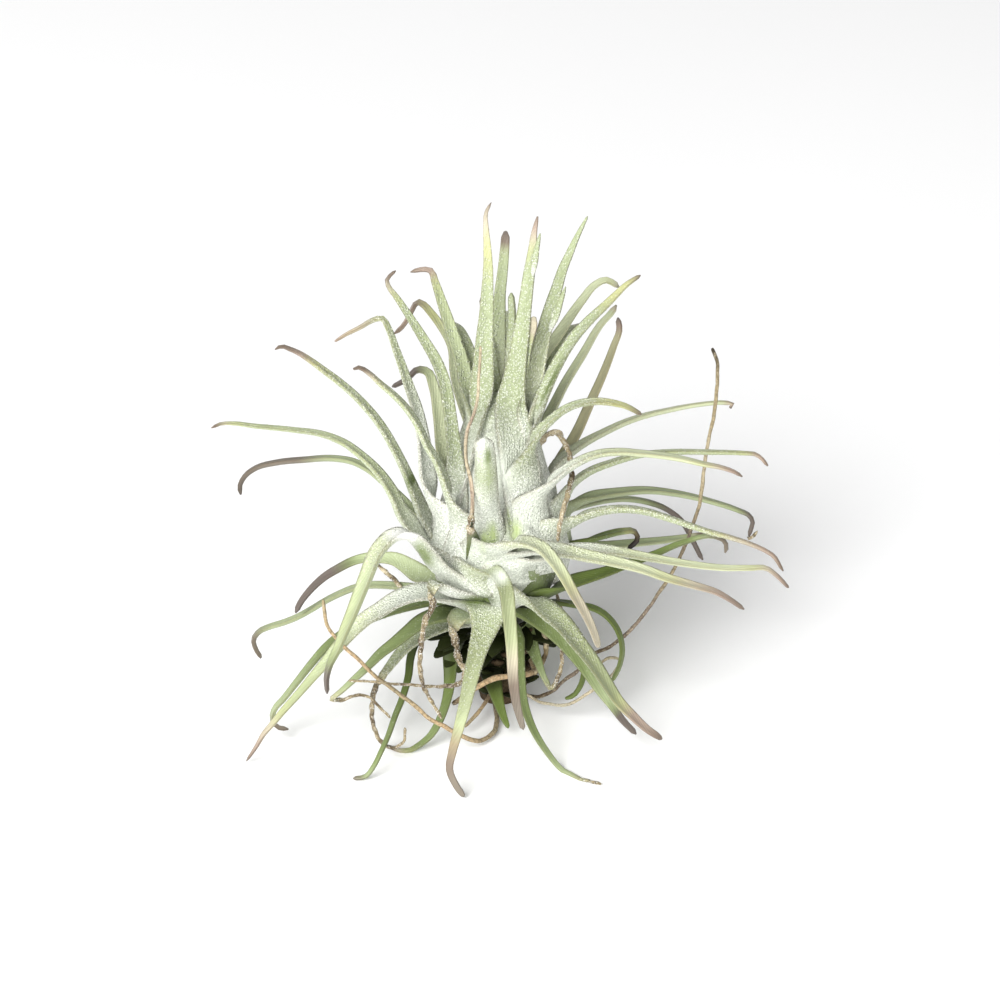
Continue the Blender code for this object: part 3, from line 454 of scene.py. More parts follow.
scale_white = bpy.data.materials.new("scale_white")
scale_white.use_nodes = True
scale_tree = scale_white.node_tree
grey_noise = place(scale_tree, "ShaderNodeTexNoise",
                   {"Vector": object_millimetres(scale_tree), "Scale": 1.7, "Detail": 1.0})
leaf_tint = place(scale_tree, "ShaderNodeAttribute", attribute_name="tint").outputs["Color"]
leaf_frost = place(scale_tree, "ShaderNodeAttribute", attribute_name="frost").outputs["Fac"]
thick_coat = power(leaf_frost, 2.0)
whiteness = times(plus(0.15, thick_coat), times(grey_noise.outputs["Fac"], 1.1), clamp=True)
scale_colour = mix_colour(scale_tree, whiteness, leaf_tint, (*linear("white"), 1))
scale_tree.links.new(scale_colour, scale_tree.nodes["Principled BSDF"].inputs["Base Color"])
scale_tree.nodes["Principled BSDF"].inputs["Roughness"].default_value = 0.7
scale_tree.nodes["Principled BSDF"].inputs["Sheen Weight"].default_value = 0.2
SKINS = {"crown": crown_skin, "pale": pale_skin, "olive": olive_skin, "dry": dry_skin, "bark": bark_skin}
print("skins:", ", ".join(SKINS))

# %% [markdown]
# ## The coat of scales
# Painted grains are flat at the edge of a leaf, where the real coat stands up. So a Geometry Nodes
# tree scatters low three-sided scales over each blade, more where the frost attribute is high, and
# turns them with the surface. It ends in plain triangles, because instances don't travel.

# %% Scale coat tree
MATERIAL = "NodeSocketMaterial"
scale_coat, coat_in, coat_out = new_group(
    "scale_coat", "GeometryNodeTree",
    {"Geometry": ("NodeSocketGeometry", None), "Scales per mm2": (FLOAT, 6.0),
     "Scale width mm": (FLOAT, 0.21), "Scale height mm": (FLOAT, 0.11), "Bare below": (FLOAT, 0.16),
     "Seed": ("NodeSocketInt", 3),
     "Blade finish": (MATERIAL, None), "Scale finish": (MATERIAL, None)},
    {"Geometry": "NodeSocketGeometry"})


def build_coat(tree, given, result):
    frost = place(tree, "GeometryNodeInputNamedAttribute", {"Name": "frost"},
                  data_type="FLOAT").outputs["Attribute"]
    coated = less(frost, given["Bare below"], clamp=True)
    per_m2 = times(given["Scales per mm2"], 1e6)
    density = times(coated, per_m2)
    spots = place(tree, "GeometryNodeDistributePointsOnFaces",
                  {"Mesh": given["Geometry"], "Density": density, "Seed": given["Seed"]})
    width = times(given["Scale width mm"], MM / 2)
    height = times(given["Scale height mm"], MM)
    cone = place(tree, "GeometryNodeMeshCone",
                 {"Vertices": 3, "Radius Bottom": width, "Depth": height}).outputs["Mesh"]
    marked = place(tree, "GeometryNodeStoreNamedAttribute",
                   {"Geometry": cone, "Name": "is_scale", "Value": 1.0},
                   data_type="FLOAT", domain="FACE").outputs[0]
    sunk = place(tree, "GeometryNodeTransform",
                 {"Geometry": marked, "Translation": (0, 0, -0.00003)}).outputs[0]
    yaw = place(tree, "FunctionNodeRandomValue", {"Min": (-0.35, -0.35, 0), "Max": (0.35, 0.35, math.tau),
                                                  "Seed": given["Seed"]},
                data_type="FLOAT_VECTOR").outputs[0]
    turned = place(tree, "FunctionNodeRotateRotation",
                   {"Rotation": spots.outputs["Rotation"], "Rotate By": yaw},
                   rotation_space="LOCAL").outputs[0]
    size = place(tree, "FunctionNodeRandomValue",
                 {"Min": (0.6, 0.6, 0.5), "Max": (1.25, 1.5, 1.4), "Seed": 9},
                 data_type="FLOAT_VECTOR").outputs[0]
    scales = place(tree, "GeometryNodeInstanceOnPoints",
                   {"Points": spots.outputs["Points"], "Instance": sunk, "Rotation": turned,
                    "Scale": size}).outputs[0]
    both = tree.nodes.new("GeometryNodeJoinGeometry")
    tree.links.new(scales, both.inputs[0])
    tree.links.new(given["Geometry"], both.inputs[0])
    real = place(tree, "GeometryNodeRealizeInstances", {"Geometry": both.outputs[0]}).outputs[0]
    skinned = place(tree, "GeometryNodeSetMaterial",
                    {"Geometry": real, "Material": given["Blade finish"]}).outputs[0]
    is_scale = place(tree, "GeometryNodeInputNamedAttribute", {"Name": "is_scale"},
                     data_type="FLOAT").outputs["Attribute"]
    done = place(tree, "GeometryNodeSetMaterial",
                 {"Geometry": skinned, "Selection": calc("GREATER_THAN", is_scale, 0.5),
                  "Material": given["Scale finish"]}).outputs[0]
    tree.links.new(done, result["Geometry"])


build_coat(scale_coat, coat_in, coat_out)


def grown(source, tree, **values):
    """The source's mesh after the tree, with its named inputs set, as a plain mesh."""
    modifier = source.modifiers.new("grow", "NODES")
    modifier.node_group = tree
    for item in tree.interface.items_tree:
        key = item.name.replace(" ", "_")
        if item.in_out == "INPUT" and key in values:
            modifier[item.identifier] = values[key]
    if source.name not in scene.collection.objects:
        scene.collection.objects.link(source)
    bpy.context.view_layer.update()
    mesh = bpy.data.meshes.new_from_object(source.evaluated_get(bpy.context.evaluated_depsgraph_get()))
    source.modifiers.remove(modifier)
    return mesh


# %% [markdown]
# ## Lines on the sheet
# A leaf line is drawn as the eye sees it. Its depth says how far in front of the sheet a point
# lies, and the perspective of the eye turns the three numbers into a place in the plant's frame.

# %% Path helpers
ON_TABLE = "on table"
HALF_BLADE = 0.37
PATH_SAMPLES = 240


def to_plant(across, up, depth):
    shrink = (EYE_REACH - depth) / EYE_REACH
    x = shrink * across
    y = shrink * up * math.sin(EYE_TILT) - depth * math.cos(EYE_TILT)
    z = EYE_MIDDLE + shrink * up * math.cos(EYE_TILT) + depth * math.sin(EYE_TILT)
    return np.column_stack([x, y, np.maximum(z, HALF_BLADE)])


def table_depth(up):
    rise = HALF_BLADE - EYE_MIDDLE - math.cos(EYE_TILT) * up
    return rise / (math.sin(EYE_TILT) - math.cos(EYE_TILT) * up / EYE_REACH)


def smooth_through(knots, values, at):
    """Values at the given places of a smooth curve through the values at the knots."""
    knots = np.asarray(knots, float)
    values = np.asarray(values, float).reshape(len(knots), -1)
    step = np.diff(knots)[:, None]
    slope = np.diff(values, axis=0) / step
    middle = (slope[:-1] * step[1:] + slope[1:] * step[:-1]) / (step[:-1] + step[1:])
    tangent = np.vstack([slope[:1], middle, slope[-1:]])
    i = np.clip(np.searchsorted(knots, at, side="right") - 1, 0, len(knots) - 2)
    h = step[i]
    u = (np.asarray(at)[:, None] - knots[i][:, None]) / h
    start = values[i] * (1 + 2 * u) * (1 - u) ** 2 + tangent[i] * h * u * (1 - u) ** 2
    end = values[i + 1] * u * u * (3 - 2 * u) + tangent[i + 1] * h * u * u * (u - 1)
    return start + end


def distance_along(points):
    points = np.asarray(points, float)
    return np.concatenate([[0], np.cumsum(np.linalg.norm(np.diff(points, axis=0), axis=1))])


def spread(values, at):
    """Values given evenly from 0 to 1, read smoothly at the shares given."""
    return smooth_through(np.linspace(0, 1, len(values)), values, at)[:, 0]


def drawn_path(line, depths):
    knots = distance_along(line)
    at = np.linspace(0, knots[-1], PATH_SAMPLES)
    across, up = smooth_through(knots, line, at).T
    ups = smooth_through(knots, line, np.linspace(0, knots[-1], len(depths)))[:, 1]
    filled = [table_depth(u) if d == ON_TABLE else d for d, u in zip(depths, ups)]
    return to_plant(across, up, spread(filled, at / knots[-1]))


# %% [markdown]
# ## The crown's core
# Leaf bases wrap round each other like the coats of an onion. The core is that bulb: a turned
# profile that leans back a little toward its top. Its leaves clasp it, each in a broad sheath.

# %% Core sizes
CROWN_TOP = 48.0
CROWN_BOTTOM = 14.3
WRAP_STEP = 0.5
WRAPS = 6
WRAP_TWIST = math.radians(4.5)
LEAN = 0.012
LEAN_FROM = 28.0
STUB_REACH = 4.0
CORE = np.array([(4.4, CROWN_BOTTOM), (5.4, 16.9), (7.3, 19.4), (8.9, 22.3), (9.5, 25.4), (8.7, 29),
                 (7.2, 33), (5.7, 37.5), (4.6, 41.5), (3.2, 45.5), (1.4, 47.4), (0, CROWN_TOP)])


def core_radius(z):
    return np.interp(z, CORE[:, 1], CORE[:, 0])


def core_lean(z):
    return LEAN * np.maximum(np.asarray(z) - LEAN_FROM, 0) ** 2


def leaves_core(path):
    """Index of the first point of a path that is out of the crown's core, or of the stub below it."""
    lean = core_lean(path[:, 2])
    radial = np.hypot(path[:, 0], path[:, 1] - lean)
    inside = radial < np.where(path[:, 2] < CROWN_BOTTOM, STUB_REACH, core_radius(path[:, 2]) + 0.1)
    inside[len(path) // 2:] = False
    return int(inside.nonzero()[0][-1]) + 1 if inside.any() else 0


RUN_STEP = 0.25
LEAST_DROP = 0.35
AXIS_NEAR = 3.0
FLANK_GAP = 0.15
LOW_BAND = 2.0
LOW_START = 8           # path samples that a leaf from the stub keeps inside it
BEND_ROUNDS = 30
BEND_REACH = 3.5


def sheath_run(inner, run):
    """A line over the core's flank, back from where a leaf comes out: it turns as the line inside turns."""
    lean = core_lean(inner[:, 2])
    near = np.hypot(inner[:, 0], inner[:, 1] - lean) < AXIS_NEAR
    turn = np.unwrap(np.arctan2(inner[:, 1] - lean, inner[:, 0]))
    last = int(near.nonzero()[0][0]) if near.any() else len(inner)
    turn[last:] = turn[max(last - 1, 0)]
    along = distance_along(inner)
    angle = turn[0]
    height = min(inner[0, 2], CROWN_TOP - 3)
    spots = []
    for step in np.arange(0, run, RUN_STEP):
        if height < CROWN_BOTTOM + 1:
            break
        reach = core_radius(height) + FLANK_GAP
        spots.append((reach * math.cos(angle), reach * math.sin(angle) + core_lean(height), height))
        most = 0.9 * RUN_STEP / reach
        swing = float(np.clip(np.interp(step + RUN_STEP, along, turn) - angle, -most, most))
        angle += swing
        height -= math.sqrt(max(RUN_STEP ** 2 - (reach * swing) ** 2, (LEAST_DROP * RUN_STEP) ** 2))
    return np.array(spots[::-1])


def clasped(path, run):
    """The path with a run over the crown's flank before it comes out, and how long that run is."""
    first = leaves_core(path)
    if path[first, 2] < CROWN_BOTTOM + LOW_BAND:
        return path[max(first - LOW_START, 0):], 0.0
    flank = sheath_run(path[:first + 1][::-1], run)
    joined = np.vstack([flank, path[first + 2:]])
    at = distance_along(joined)
    even = np.arange(0, at[-1], RUN_STEP)
    fine = np.column_stack([np.interp(even, at, joined[:, k]) for k in range(3)])
    bend = distance_along(flank)[-1]
    for _ in range(BEND_ROUNDS):
        near = (np.abs(even - bend) < BEND_REACH)[1:-1, None]
        fine[1:-1] += near * 0.5 * ((fine[:-2] + fine[2:]) / 2 - fine[1:-1])
    return fine, bend


# %% [markdown]
# ## One blade
# A blade is rings of corners swept along its path. The keel side is round, the channel side is
# hollow, and the edges are thin. The rings are carried along without twist, as a leaf grows, but a
# dried tail winds up like a rope. At the crown the blade flares into its sheath and turns round it.

# %% Blade maker
# Each kind of blade starts its seeds at a number of its own.
FAR_SEED = 20
LEAF_SEED = 40
HIDDEN_SCALE_SEED = 60
HIDDEN_SEED = 90
OLD_BASE_SEED = 100
EXTRA_SEED = 140
SLIVER_SEED = 200
DARK_BASE_SEED = 300
STRAND_SEED = 320
SIDE_CORNERS = 9
RING_GAP = 0.75
TAIL_GAP = 0.3
FOLD = 0.24
SHEATH_FOLD = 0.14
FLARE_FADE = 3.4
TAIL_TURN = math.tau / 5
TAIL_FLAKES = 0.8
TAIL_START = 1.2        # how long a tail takes to dry, in mm
THREAD_TURN = 0.25      # a thread winds this much less than a tail
RAGGED = 0.4
LEAST_CAP = 0.4
SHEATH_END = 1.5
SHEATH_RISE = 6.0
LEAST_SHEATH = 0.35
FOLD_FADE = 7.0
CLASP_FADE = 7.0
MOST_CLASP = math.radians(75)
TIP_BLEND = 0.12        # the share of a leaf over which its body turns into its tip
SEED_SHIFT = 13.7       # moves the pattern of one leaf away from that of the next
RIM_SHADE = np.array([0.8, 0.76, 0.72])


def paint_along(paints, at):
    """Colours given evenly from 0 to 1, read at the shares given."""
    colours = np.array([linear(p) for p in paints])
    return np.column_stack([np.interp(at, np.linspace(0, 1, len(colours)),
                                      colours[:, k]) for k in range(3)])


def section(width, fold):
    """Corners of the blade's section, as (aside, inward, across): the keel side, then the channel."""
    c = np.linspace(-1, 1, SIDE_CORNERS)
    thick = np.minimum(0.58 + 0.09 * width, 0.1 + 0.8 * width)
    middle = fold * width * (c * c - 0.5)
    half = thick / 2 * (1 - 0.72 * np.abs(c) ** 2.4)
    keel = np.column_stack([c * width / 2, middle - half, c * width / 2])
    channel = np.column_stack([c * width / 2 * 0.96, middle + half, c * width / 2 + 7])[::-1]
    return np.vstack([keel, channel])


def tube_faces(rings, sides):
    """The faces between rings of corners that all have the same number of sides."""
    return [(r * sides + k, r * sides + (k + 1) % sides, (r + 1) * sides + (k + 1) % sides,
             (r + 1) * sides + k)
            for r in range(rings - 1) for k in range(sides)]


def capped(rings, sides):
    """The faces of a tube with both of its ends closed."""
    last = (rings - 1) * sides
    return [*tube_faces(rings, sides), tuple(range(sides))[::-1], tuple(last + k for k in range(sides))]


def solid(name, corners, faces):
    mesh = bpy.data.meshes.new(name)
    mesh.from_pydata(corners * MM, [], faces)
    mesh.update()
    return mesh


def carried(points, side):
    """The side of each ring, carried along the line without twist."""
    sides = []
    for i in range(len(points)):
        way = Vector(points[min(i + 1, len(points) - 1)] - points[max(i - 1, 0)]).normalized()
        side = (side - way * side.dot(way)).normalized()
        sides.append((side, way))
    return sides


def ring_frames(points, outward, free, clasps):
    """Side and way of each ring: round the crown where the leaf clasps it, level further out."""
    level = carried(points, outward.normalized().cross(Vector((0, 0, 1))))
    if not clasps:
        return level
    start = points[0]
    radial = Vector((start[0], start[1] - core_lean(start[2]), 0))
    wrapped = carried(points, radial.normalized().cross(Vector((0, 0, 1))))
    frames = []
    for (side, way), (round_side, _), out in zip(level, wrapped, free):
        turn = math.atan2(side.cross(round_side).dot(way), side.dot(round_side))
        if abs(turn) > math.pi / 2:
            turn -= math.copysign(math.pi, turn)
        turn = max(-MOST_CLASP, min(MOST_CLASP, turn))
        share = 1 - smooth_step(out / CLASP_FADE)
        frames.append((Quaternion(way, turn * share) @ side, way))
    return frames


def smooth_step(u):
    u = min(max(u, 0), 1)
    return u * u * (3 - 2 * u)


def blade(name, path, widths, tone, tip="none", tip_share=1.0, run=5.0, flare=0.6, seed=0):
    """A leaf blade with its tint, frost, dry, across and along attributes. With no run it stands free."""
    total = distance_along(path)[-1]
    kept, bend = clasped(path, run) if run else (path, 0.0)
    line = distance_along(kept)
    lost = total - (line[-1] - bend)
    dried = tip in ("dry", "thread") or tone == "dry"
    tail_from = bend + tip_share * total - lost
    tail_from = 0 if tone == "dry" else tail_from
    gaps = []
    at = 0.0
    while at < line[-1]:
        gaps.append(at)
        at += TAIL_GAP if dried and at > tail_from else RING_GAP
    gaps.append(line[-1])
    gaps = np.array(gaps)
    points = np.column_stack([np.interp(gaps, line, kept[:, k]) for k in range(3)])
    share = np.clip((gaps - bend + lost) / total, 0, 1)
    width = spread(widths, share)
    free = gaps - bend
    width = width * (1 + flare * np.exp(-np.maximum(free, 0) / FLARE_FADE))
    if bend and run < 10:
        width = width * np.clip((gaps + SHEATH_END) / SHEATH_RISE, LEAST_SHEATH, 1)
    fold = np.interp(free, [0, FOLD_FADE], [SHEATH_FOLD, FOLD])
    end = line[-1] - gaps
    cap = max(width[-1] * 0.9, LEAST_CAP)
    width = width * np.sqrt(np.clip(1 - np.clip(1 - end / cap, 0, 0.97) ** 2, 0, 1))
    dry = np.clip((gaps - tail_from) / TAIL_START + 0.5, 0, 1) if dried else np.zeros(len(gaps))

    outward = Vector((path[len(path) // 2] - path[0]) * (1, 1, 0))
    frames = ring_frames(points, outward, free, bend > 0)
    rings = []
    wind = 0.0
    for i, centre in enumerate(points):
        side, way = frames[i]
        inward = side.cross(way)
        step = gaps[i] - gaps[i - 1] if i else 0
        wind += dry[i] * TAIL_TURN * (THREAD_TURN if tip == "thread" else 1) * step
        rough = RAGGED * noise.noise(Vector((gaps[i] * 1.1, seed, 0))) * dry[i] * (tip != "thread")
        shape = section(width[i] * (1 + rough), fold[i])
        if wind:
            turned = shape.copy()
            turned[:, 0] = shape[:, 0] * math.cos(wind) - shape[:, 1] * math.sin(wind)
            turned[:, 1] = shape[:, 0] * math.sin(wind) + shape[:, 1] * math.cos(wind)
            shape = turned
        ring = np.array(centre) + np.outer(shape[:, 0], side) + np.outer(shape[:, 1], inward)
        rings.append(ring)
    corners = np.vstack(rings)
    corners[:, 2] = np.maximum(corners[:, 2], 0)
    count = 2 * SIDE_CORNERS
    mesh = solid(name, corners, capped(len(points), count))

    own = paint_along(TONES[tone], np.clip(share / max(tip_share, 0.05), 0, 1))
    if TIPS[tip] and tip_share < 1:
        past = (share - tip_share) / (1 - tip_share)
        ends = paint_along(TIPS[tip], np.clip(past, 0, 1))
        blend = np.clip((share - tip_share + TIP_BLEND / 2) / TIP_BLEND, 0, 1)[:, None]
        own = own * (1 - blend) + ends * blend
    coat = np.interp(share, np.linspace(0, 1, len(FROSTS[tone])), FROSTS[tone])
    coat = coat * (1 - dry) + TAIL_FLAKES * dry * (tip != "thread")
    if TIPS[tip] and not dried:
        coat = coat * np.clip(1 - (share - tip_share) / max(1 - tip_share, 0.01), 0.05, 1)
    across = np.tile(section(2.0, FOLD)[:, 2], len(points)) * np.repeat(width / 2, count)
    own = np.repeat(own, count, axis=0)
    rim = np.tile(np.abs(section(2.0, FOLD)[:, 0]) > 0.9, len(points))
    own[rim] *= RIM_SHADE
    write_look(mesh, own, np.repeat(coat, count), np.repeat(dry, count), across,
               np.repeat(gaps + seed * SEED_SHIFT, count))
    return mesh


# Stains, painted shade and painted light on the leaves, placed on the sheet: across, up, depth, half
# width, half length, the angle that the length is turned from upright, and the paint. The lime patches
# of young tissue and the black speck are the leaf's own colour; the rest are named line by line.
STAINS_AND_PAINTED_LIGHT = [
    (-1.1, -5.2, 6.7, 0.8, 2.2, 0, "fresh"), (-2.3, -6, 6.7, 0.6, 1.6, 0, "fresh"),
    (2.4, -4.9, 6.7, 0.9, 2, 0, "fresh"),
    # Painted shade on the leaf that points at the eye: in the hollow of its tip and down its middle below.
    (-1.7, 6.3, 20, 0.5, 1.5, 0, "moss"), (-1.6, 3, 17, 0.45, 2.6, 0, "olive"),
    # A darker green patch on the high left leaf; painted shade in the crease beside the right spike.
    (-12.6, 3, 0, 0.8, 1.8, 35, "deep"), (7.4, 17, 5, 0.3, 3.6, 27, "deep"),
    # Painted shade under the crest of the front left arch; a small black speck.
    (-10.9, -7.8, 10, 1.2, 3, -25, "moss"), (4.3, -4, 9, 0.35, 0.35, 0, "black"),
    # Painted shade under the hood of the centre droop; a darker moss streak low on the crown's front.
    (-3.2, -14.4, 2.5, 3.2, 0.9, 0, "deep"), (1.2, -3.2, 9, 0.5, 2.6, 0, "moss"),
    # Painted shade under the crown on the right; painted light on the crown between the finger and the
    # middle leaf.
    (6.4, -12.9, 2, 2.2, 0.9, 0, "deep"), (0.7, 4, 7.4, 1.2, 3, 0, "frosted"),
    # A paler patch on the bend of the hood; a painted highlight on the top of the front left arch.
    (-0.1, -10.9, 11.7, 1.2, 1.2, 0, "frosted"), (-13.8, -4.9, 12.5, 2.4, 1.2, 0, "white"),
]
SPOT_DEEP = 4.0
SPOT_FULL = 1.6
SPOT_FALL = 1.2
SPOT_BARES = 0.6


def add_stains_and_painted_light(corners, tint, frost):
    """The tint and frost of each corner, after the stains, painted shade and painted light on the sheet."""
    for across, up, depth, wide, long, turn, paint in STAINS_AND_PAINTED_LIGHT:
        gap = corners - to_plant(np.array([across]), np.array([up]), np.array([depth]))[0]
        rise = gap[:, 2] * math.cos(EYE_TILT) + gap[:, 1] * math.sin(EYE_TILT)
        near = gap[:, 2] * math.sin(EYE_TILT) - gap[:, 1] * math.cos(EYE_TILT)
        lean = math.radians(turn)
        length = rise * math.cos(lean) + gap[:, 0] * math.sin(lean)
        breadth = gap[:, 0] * math.cos(lean) - rise * math.sin(lean)
        reach = np.sqrt((breadth / wide) ** 2 + (length / long) ** 2 + (near / SPOT_DEEP) ** 2)
        share = np.clip(SPOT_FULL - SPOT_FALL * reach, 0, 1)
        tint = tint * (1 - share[:, None]) + linear(paint) * share[:, None]
        frost = frost * (1 - SPOT_BARES * share)
    return tint, frost


def write_look(mesh, tint, frost, dry, across, along):
    """Store what the skins read on each corner of the mesh."""
    corners = np.empty(3 * len(mesh.vertices), np.float32)
    mesh.vertices.foreach_get("co", corners)
    tint, frost = add_stains_and_painted_light(corners.reshape(-1, 3) / MM, tint, frost)
    colour = mesh.attributes.new("tint", "FLOAT_COLOR", "POINT")
    colour.data.foreach_set("color", np.column_stack([tint, np.ones(len(tint))]).astype(np.float32).ravel())
    for label, values in (("frost", frost), ("dry", dry), ("across", across), ("along", along)):
        layer = mesh.attributes.new(label, "FLOAT", "POINT")
        layer.data.foreach_set("value", np.asarray(values, np.float32))
    mesh.polygons.foreach_set("use_smooth", np.ones(len(mesh.polygons), bool))


SCALES_PER_MM2 = 11.0


def dress(node, meshes, finish, scales=1.0, seed=1):
    """One shown piece from the meshes, coated with scales, standing for the CAD node."""
    piece = bpy.data.objects.new(node + "_grown", meshes[0])
    scene.collection.objects.link(piece)
    if len(meshes) > 1:
        others = [bpy.data.objects.new("part", mesh) for mesh in meshes[1:]]
        for other in others:
            scene.collection.objects.link(other)
        with bpy.context.temp_override(active_object=piece, selected_editable_objects=[piece, *others]):
            bpy.ops.object.join()
    piece.data.materials.clear()
    piece.data.materials.append(SKINS[finish])
    if scales:
        piece.data = grown(piece, scale_coat, Scales_per_mm2=SCALES_PER_MM2 * scales, Seed=seed,
                           Blade_finish=SKINS[finish], Scale_finish=scale_white)
    piece.data.name = piece.name
    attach(piece, "root")
    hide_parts(node)
    return piece


# %% [markdown]
# ## The young upright leaves
# Twelve of them show in the photograph, and five more stand on the far side. Each is its line, its
# depths, its widths, its tone, its tip, and the point of the line where the tip begins to turn.

# %% Upright leaves
UPRIGHT_LEAVES = {
    "long_spike": ([(-4.5, -3), (-6, 2), (-6.7, 8), (-7.2, 12), (-7.8, 16), (-9, 19.5), (-11, 23),
        (-13, 26.2), (-15, 29.2), (-15.9, 30.4), (-16.2, 31.4), (-15.6, 32.2), (-14.7, 32.9)],
        [2, 5, 6, 6, 6, 6], [3.2, 2.4, 2, 1.8, 1.2, 0.4], "upright", "brown", 8),
    "bent_spike": ([(-3, 6), (-4.6, 15), (-5.5, 19.5), (-6.3, 22), (-7.3, 25), (-8.3, 28), (-9.3, 31),
        (-10, 32.8), (-11.3, 32.9), (-13, 32.5)], [1, 2, 1, 0, 0], [3, 2.6, 2.3, 2, 1.4, 0.5], "pale",
        "pink", 6),
    "hook_behind": ([(-2, 4), (-4.1, 10), (-6.5, 18), (-7, 22), (-8.5, 24.8), (-10, 26.8), (-11, 27.9),
        (-11.8, 28.3), (-12.6, 27.2), (-13.2, 26), (-14, 24.8), (-15.2, 23.7)], [0, -2, -5, -7, -8],
        [2.6, 2, 1.6, 1.3, 0.7], "celadon_painted_light", "gold", 4),
    "tallest": ([(-2.8, 3), (-3, 10), (-2.6, 15), (-2.4, 19), (-2.2, 23), (-1.9, 27), (-1.8, 30),
        (-1.7, 33), (-1.8, 36), (-2, 39), (-2, 41), (-1.2, 42.6)], [2, 4, 6, 8, 9],
        [4, 3.9, 3.4, 2.8, 2.2, 1.6, 1, 0.35], "upright", "ivory", 7),
    "back_blunt": ([(-0.3, 8), (-0.3, 17), (-0.2, 22), (-0.1, 26), (0, 29.5), (0.3, 32), (0.6, 35),
        (0.78, 37.7), (0.8, 38.6)], [-1, 1, 1, 0, -1], [3, 2.4, 2, 1.6, 1.2], "behind", "cap", 6),
    "short_pale": ([(1.2, 14), (1.7, 23), (1.8, 26), (1.6, 29.7)], [0, 4, 5], [2.2, 1.8, 1.1], "bright",
        "none", 3),
    "middle": ([(0.4, 4), (1, 12), (2, 16), (2.6, 20), (3.2, 24), (3.7, 28), (4.2, 32), (4.7, 35.5),
        (4.9, 38), (5.4, 40.6)], [3, 5, 7, 8, 9], [4.2, 4, 3.5, 2.7, 2.1, 1.6, 0.35], "upright", "peach",
        7),
    "young": ([(2.4, 10), (3.3, 19), (4, 23), (5, 26.3)], [3, 6, 8], [2, 2, 2], "upright", "cream", 2),
    "right": ([(2.6, 4), (4.3, 13), (5, 17), (5.7, 20.5), (6.2, 23), (6.8, 25.5), (7.5, 28), (8.3, 30.5),
        (9, 32.8), (10, 35.2), (11, 37.5), (12.6, 40.7)], [1, 3, 4, 5, 6],
        [3.6, 3.3, 2.9, 2.6, 2, 1.3, 0.3], "bright", "yellow", 11),
    "arch_behind": ([(1.6, 6), (3.4, 13), (6, 20.5), (8, 23), (10, 26), (12, 28.8), (13.5, 30.6),
        (15.2, 31.4), (16.3, 30.9), (17.1, 30.3)], [0, -2, -3, -4], [3.4, 3, 2.2, 1.5, 1], "celadon_painted_light",
        "brown", 8),
    "spike_right": ([(4.4, 6), (5.5, 13), (6.8, 16.3), (8, 18.8), (9.5, 21.5), (11, 23.6), (13, 25.8),
        (15, 27.7), (16.5, 29.2), (18, 30.7), (20.2, 32.2)], [3, 5, 6, 7, 7], [3.2, 2.9, 2.4, 2, 1.4, 0.5],
        "upright", "yellow", 7),
    "olive_behind": ([(4, 4), (6.5, 11), (8, 14), (9, 16), (12, 21), (14.5, 25.2), (16.1, 27), (16.7, 28)],
        [0, -3, -5, -7], [2.8, 2, 1.7, 1.1], "celadon_painted_light", "rose", 6),
}
HIDDEN_SPREAD = math.radians(18)
HIDDEN_UPRIGHT = [
    (-1.1, [(2, 36), (7, 45), (12, 50), (17, 52), (22, 51)], [3.2, 2.6, 2, 1.5, 0.8]),
    (-0.5, [(2, 38), (6, 47), (11, 54), (17, 57)], [3.4, 2.8, 2, 1.4, 0.8]),
    (0.1, [(2, 34), (8, 43), (15, 49), (23, 51), (29, 48)], [3.2, 2.6, 2, 1.5, 0.8]),
    (0.8, [(2, 38), (6, 47), (11, 54), (17, 57)], [3.4, 2.8, 2, 1.4, 0.8]),
    (1.6, [(2, 35), (8, 43.4), (14, 48.4), (20, 51), (25, 50)], [3, 2.6, 2, 1.5, 0.8]),
]


def hidden_path(share, arch):
    """A leaf on the far side: its share of the spread, and its arch as reach and height."""
    angle = math.radians(90) - share * HIDDEN_SPREAD
    knots = distance_along(arch)
    reach, height = smooth_through(knots, arch, np.linspace(0, knots[-1], PATH_SAMPLES)).T
    return np.column_stack([reach * math.cos(angle), reach * math.sin(angle),
                            np.maximum(height, HALF_BLADE)])


def knot_share(line, knot):
    return distance_along(line)[knot] / distance_along(line)[-1]


crown_meshes = []
for k, (label, (line, depths, widths, tone, tip, knot)) in enumerate(UPRIGHT_LEAVES.items()):
    crown_meshes.append(blade(label, drawn_path(line, depths), widths, tone, tip, knot_share(line, knot),
                              run=20, flare=0.5, seed=k))
SLIVERS = [
    ([(4.7, 32), (5.1, 35), (5.75, 38.1)], [9, 9, 9], [0.35, 1, 0.7, 0.35]),
    ([(7.1, 24), (8.2, 27), (9.4, 30.5)], [5.2, 5.3, 5.4], [0.4, 1.3, 0.9, 0.3]),
]
for k, (line, depths, widths) in enumerate(SLIVERS):
    crown_meshes.append(blade("sliver", drawn_path(line, depths), widths, "upright", run=0, flare=0,
                              seed=SLIVER_SEED + k))
for k, (share, arch, widths) in enumerate(HIDDEN_UPRIGHT):
    crown_meshes.append(blade("far", hidden_path(share, arch), widths, "frosted", "brown", 0.9,
                              run=20, flare=0.5, seed=FAR_SEED + k))
print("upright leaves:", len(crown_meshes))

# %% Core of the crown
CORE_SIDES = 96
CORE_RINGS = 70


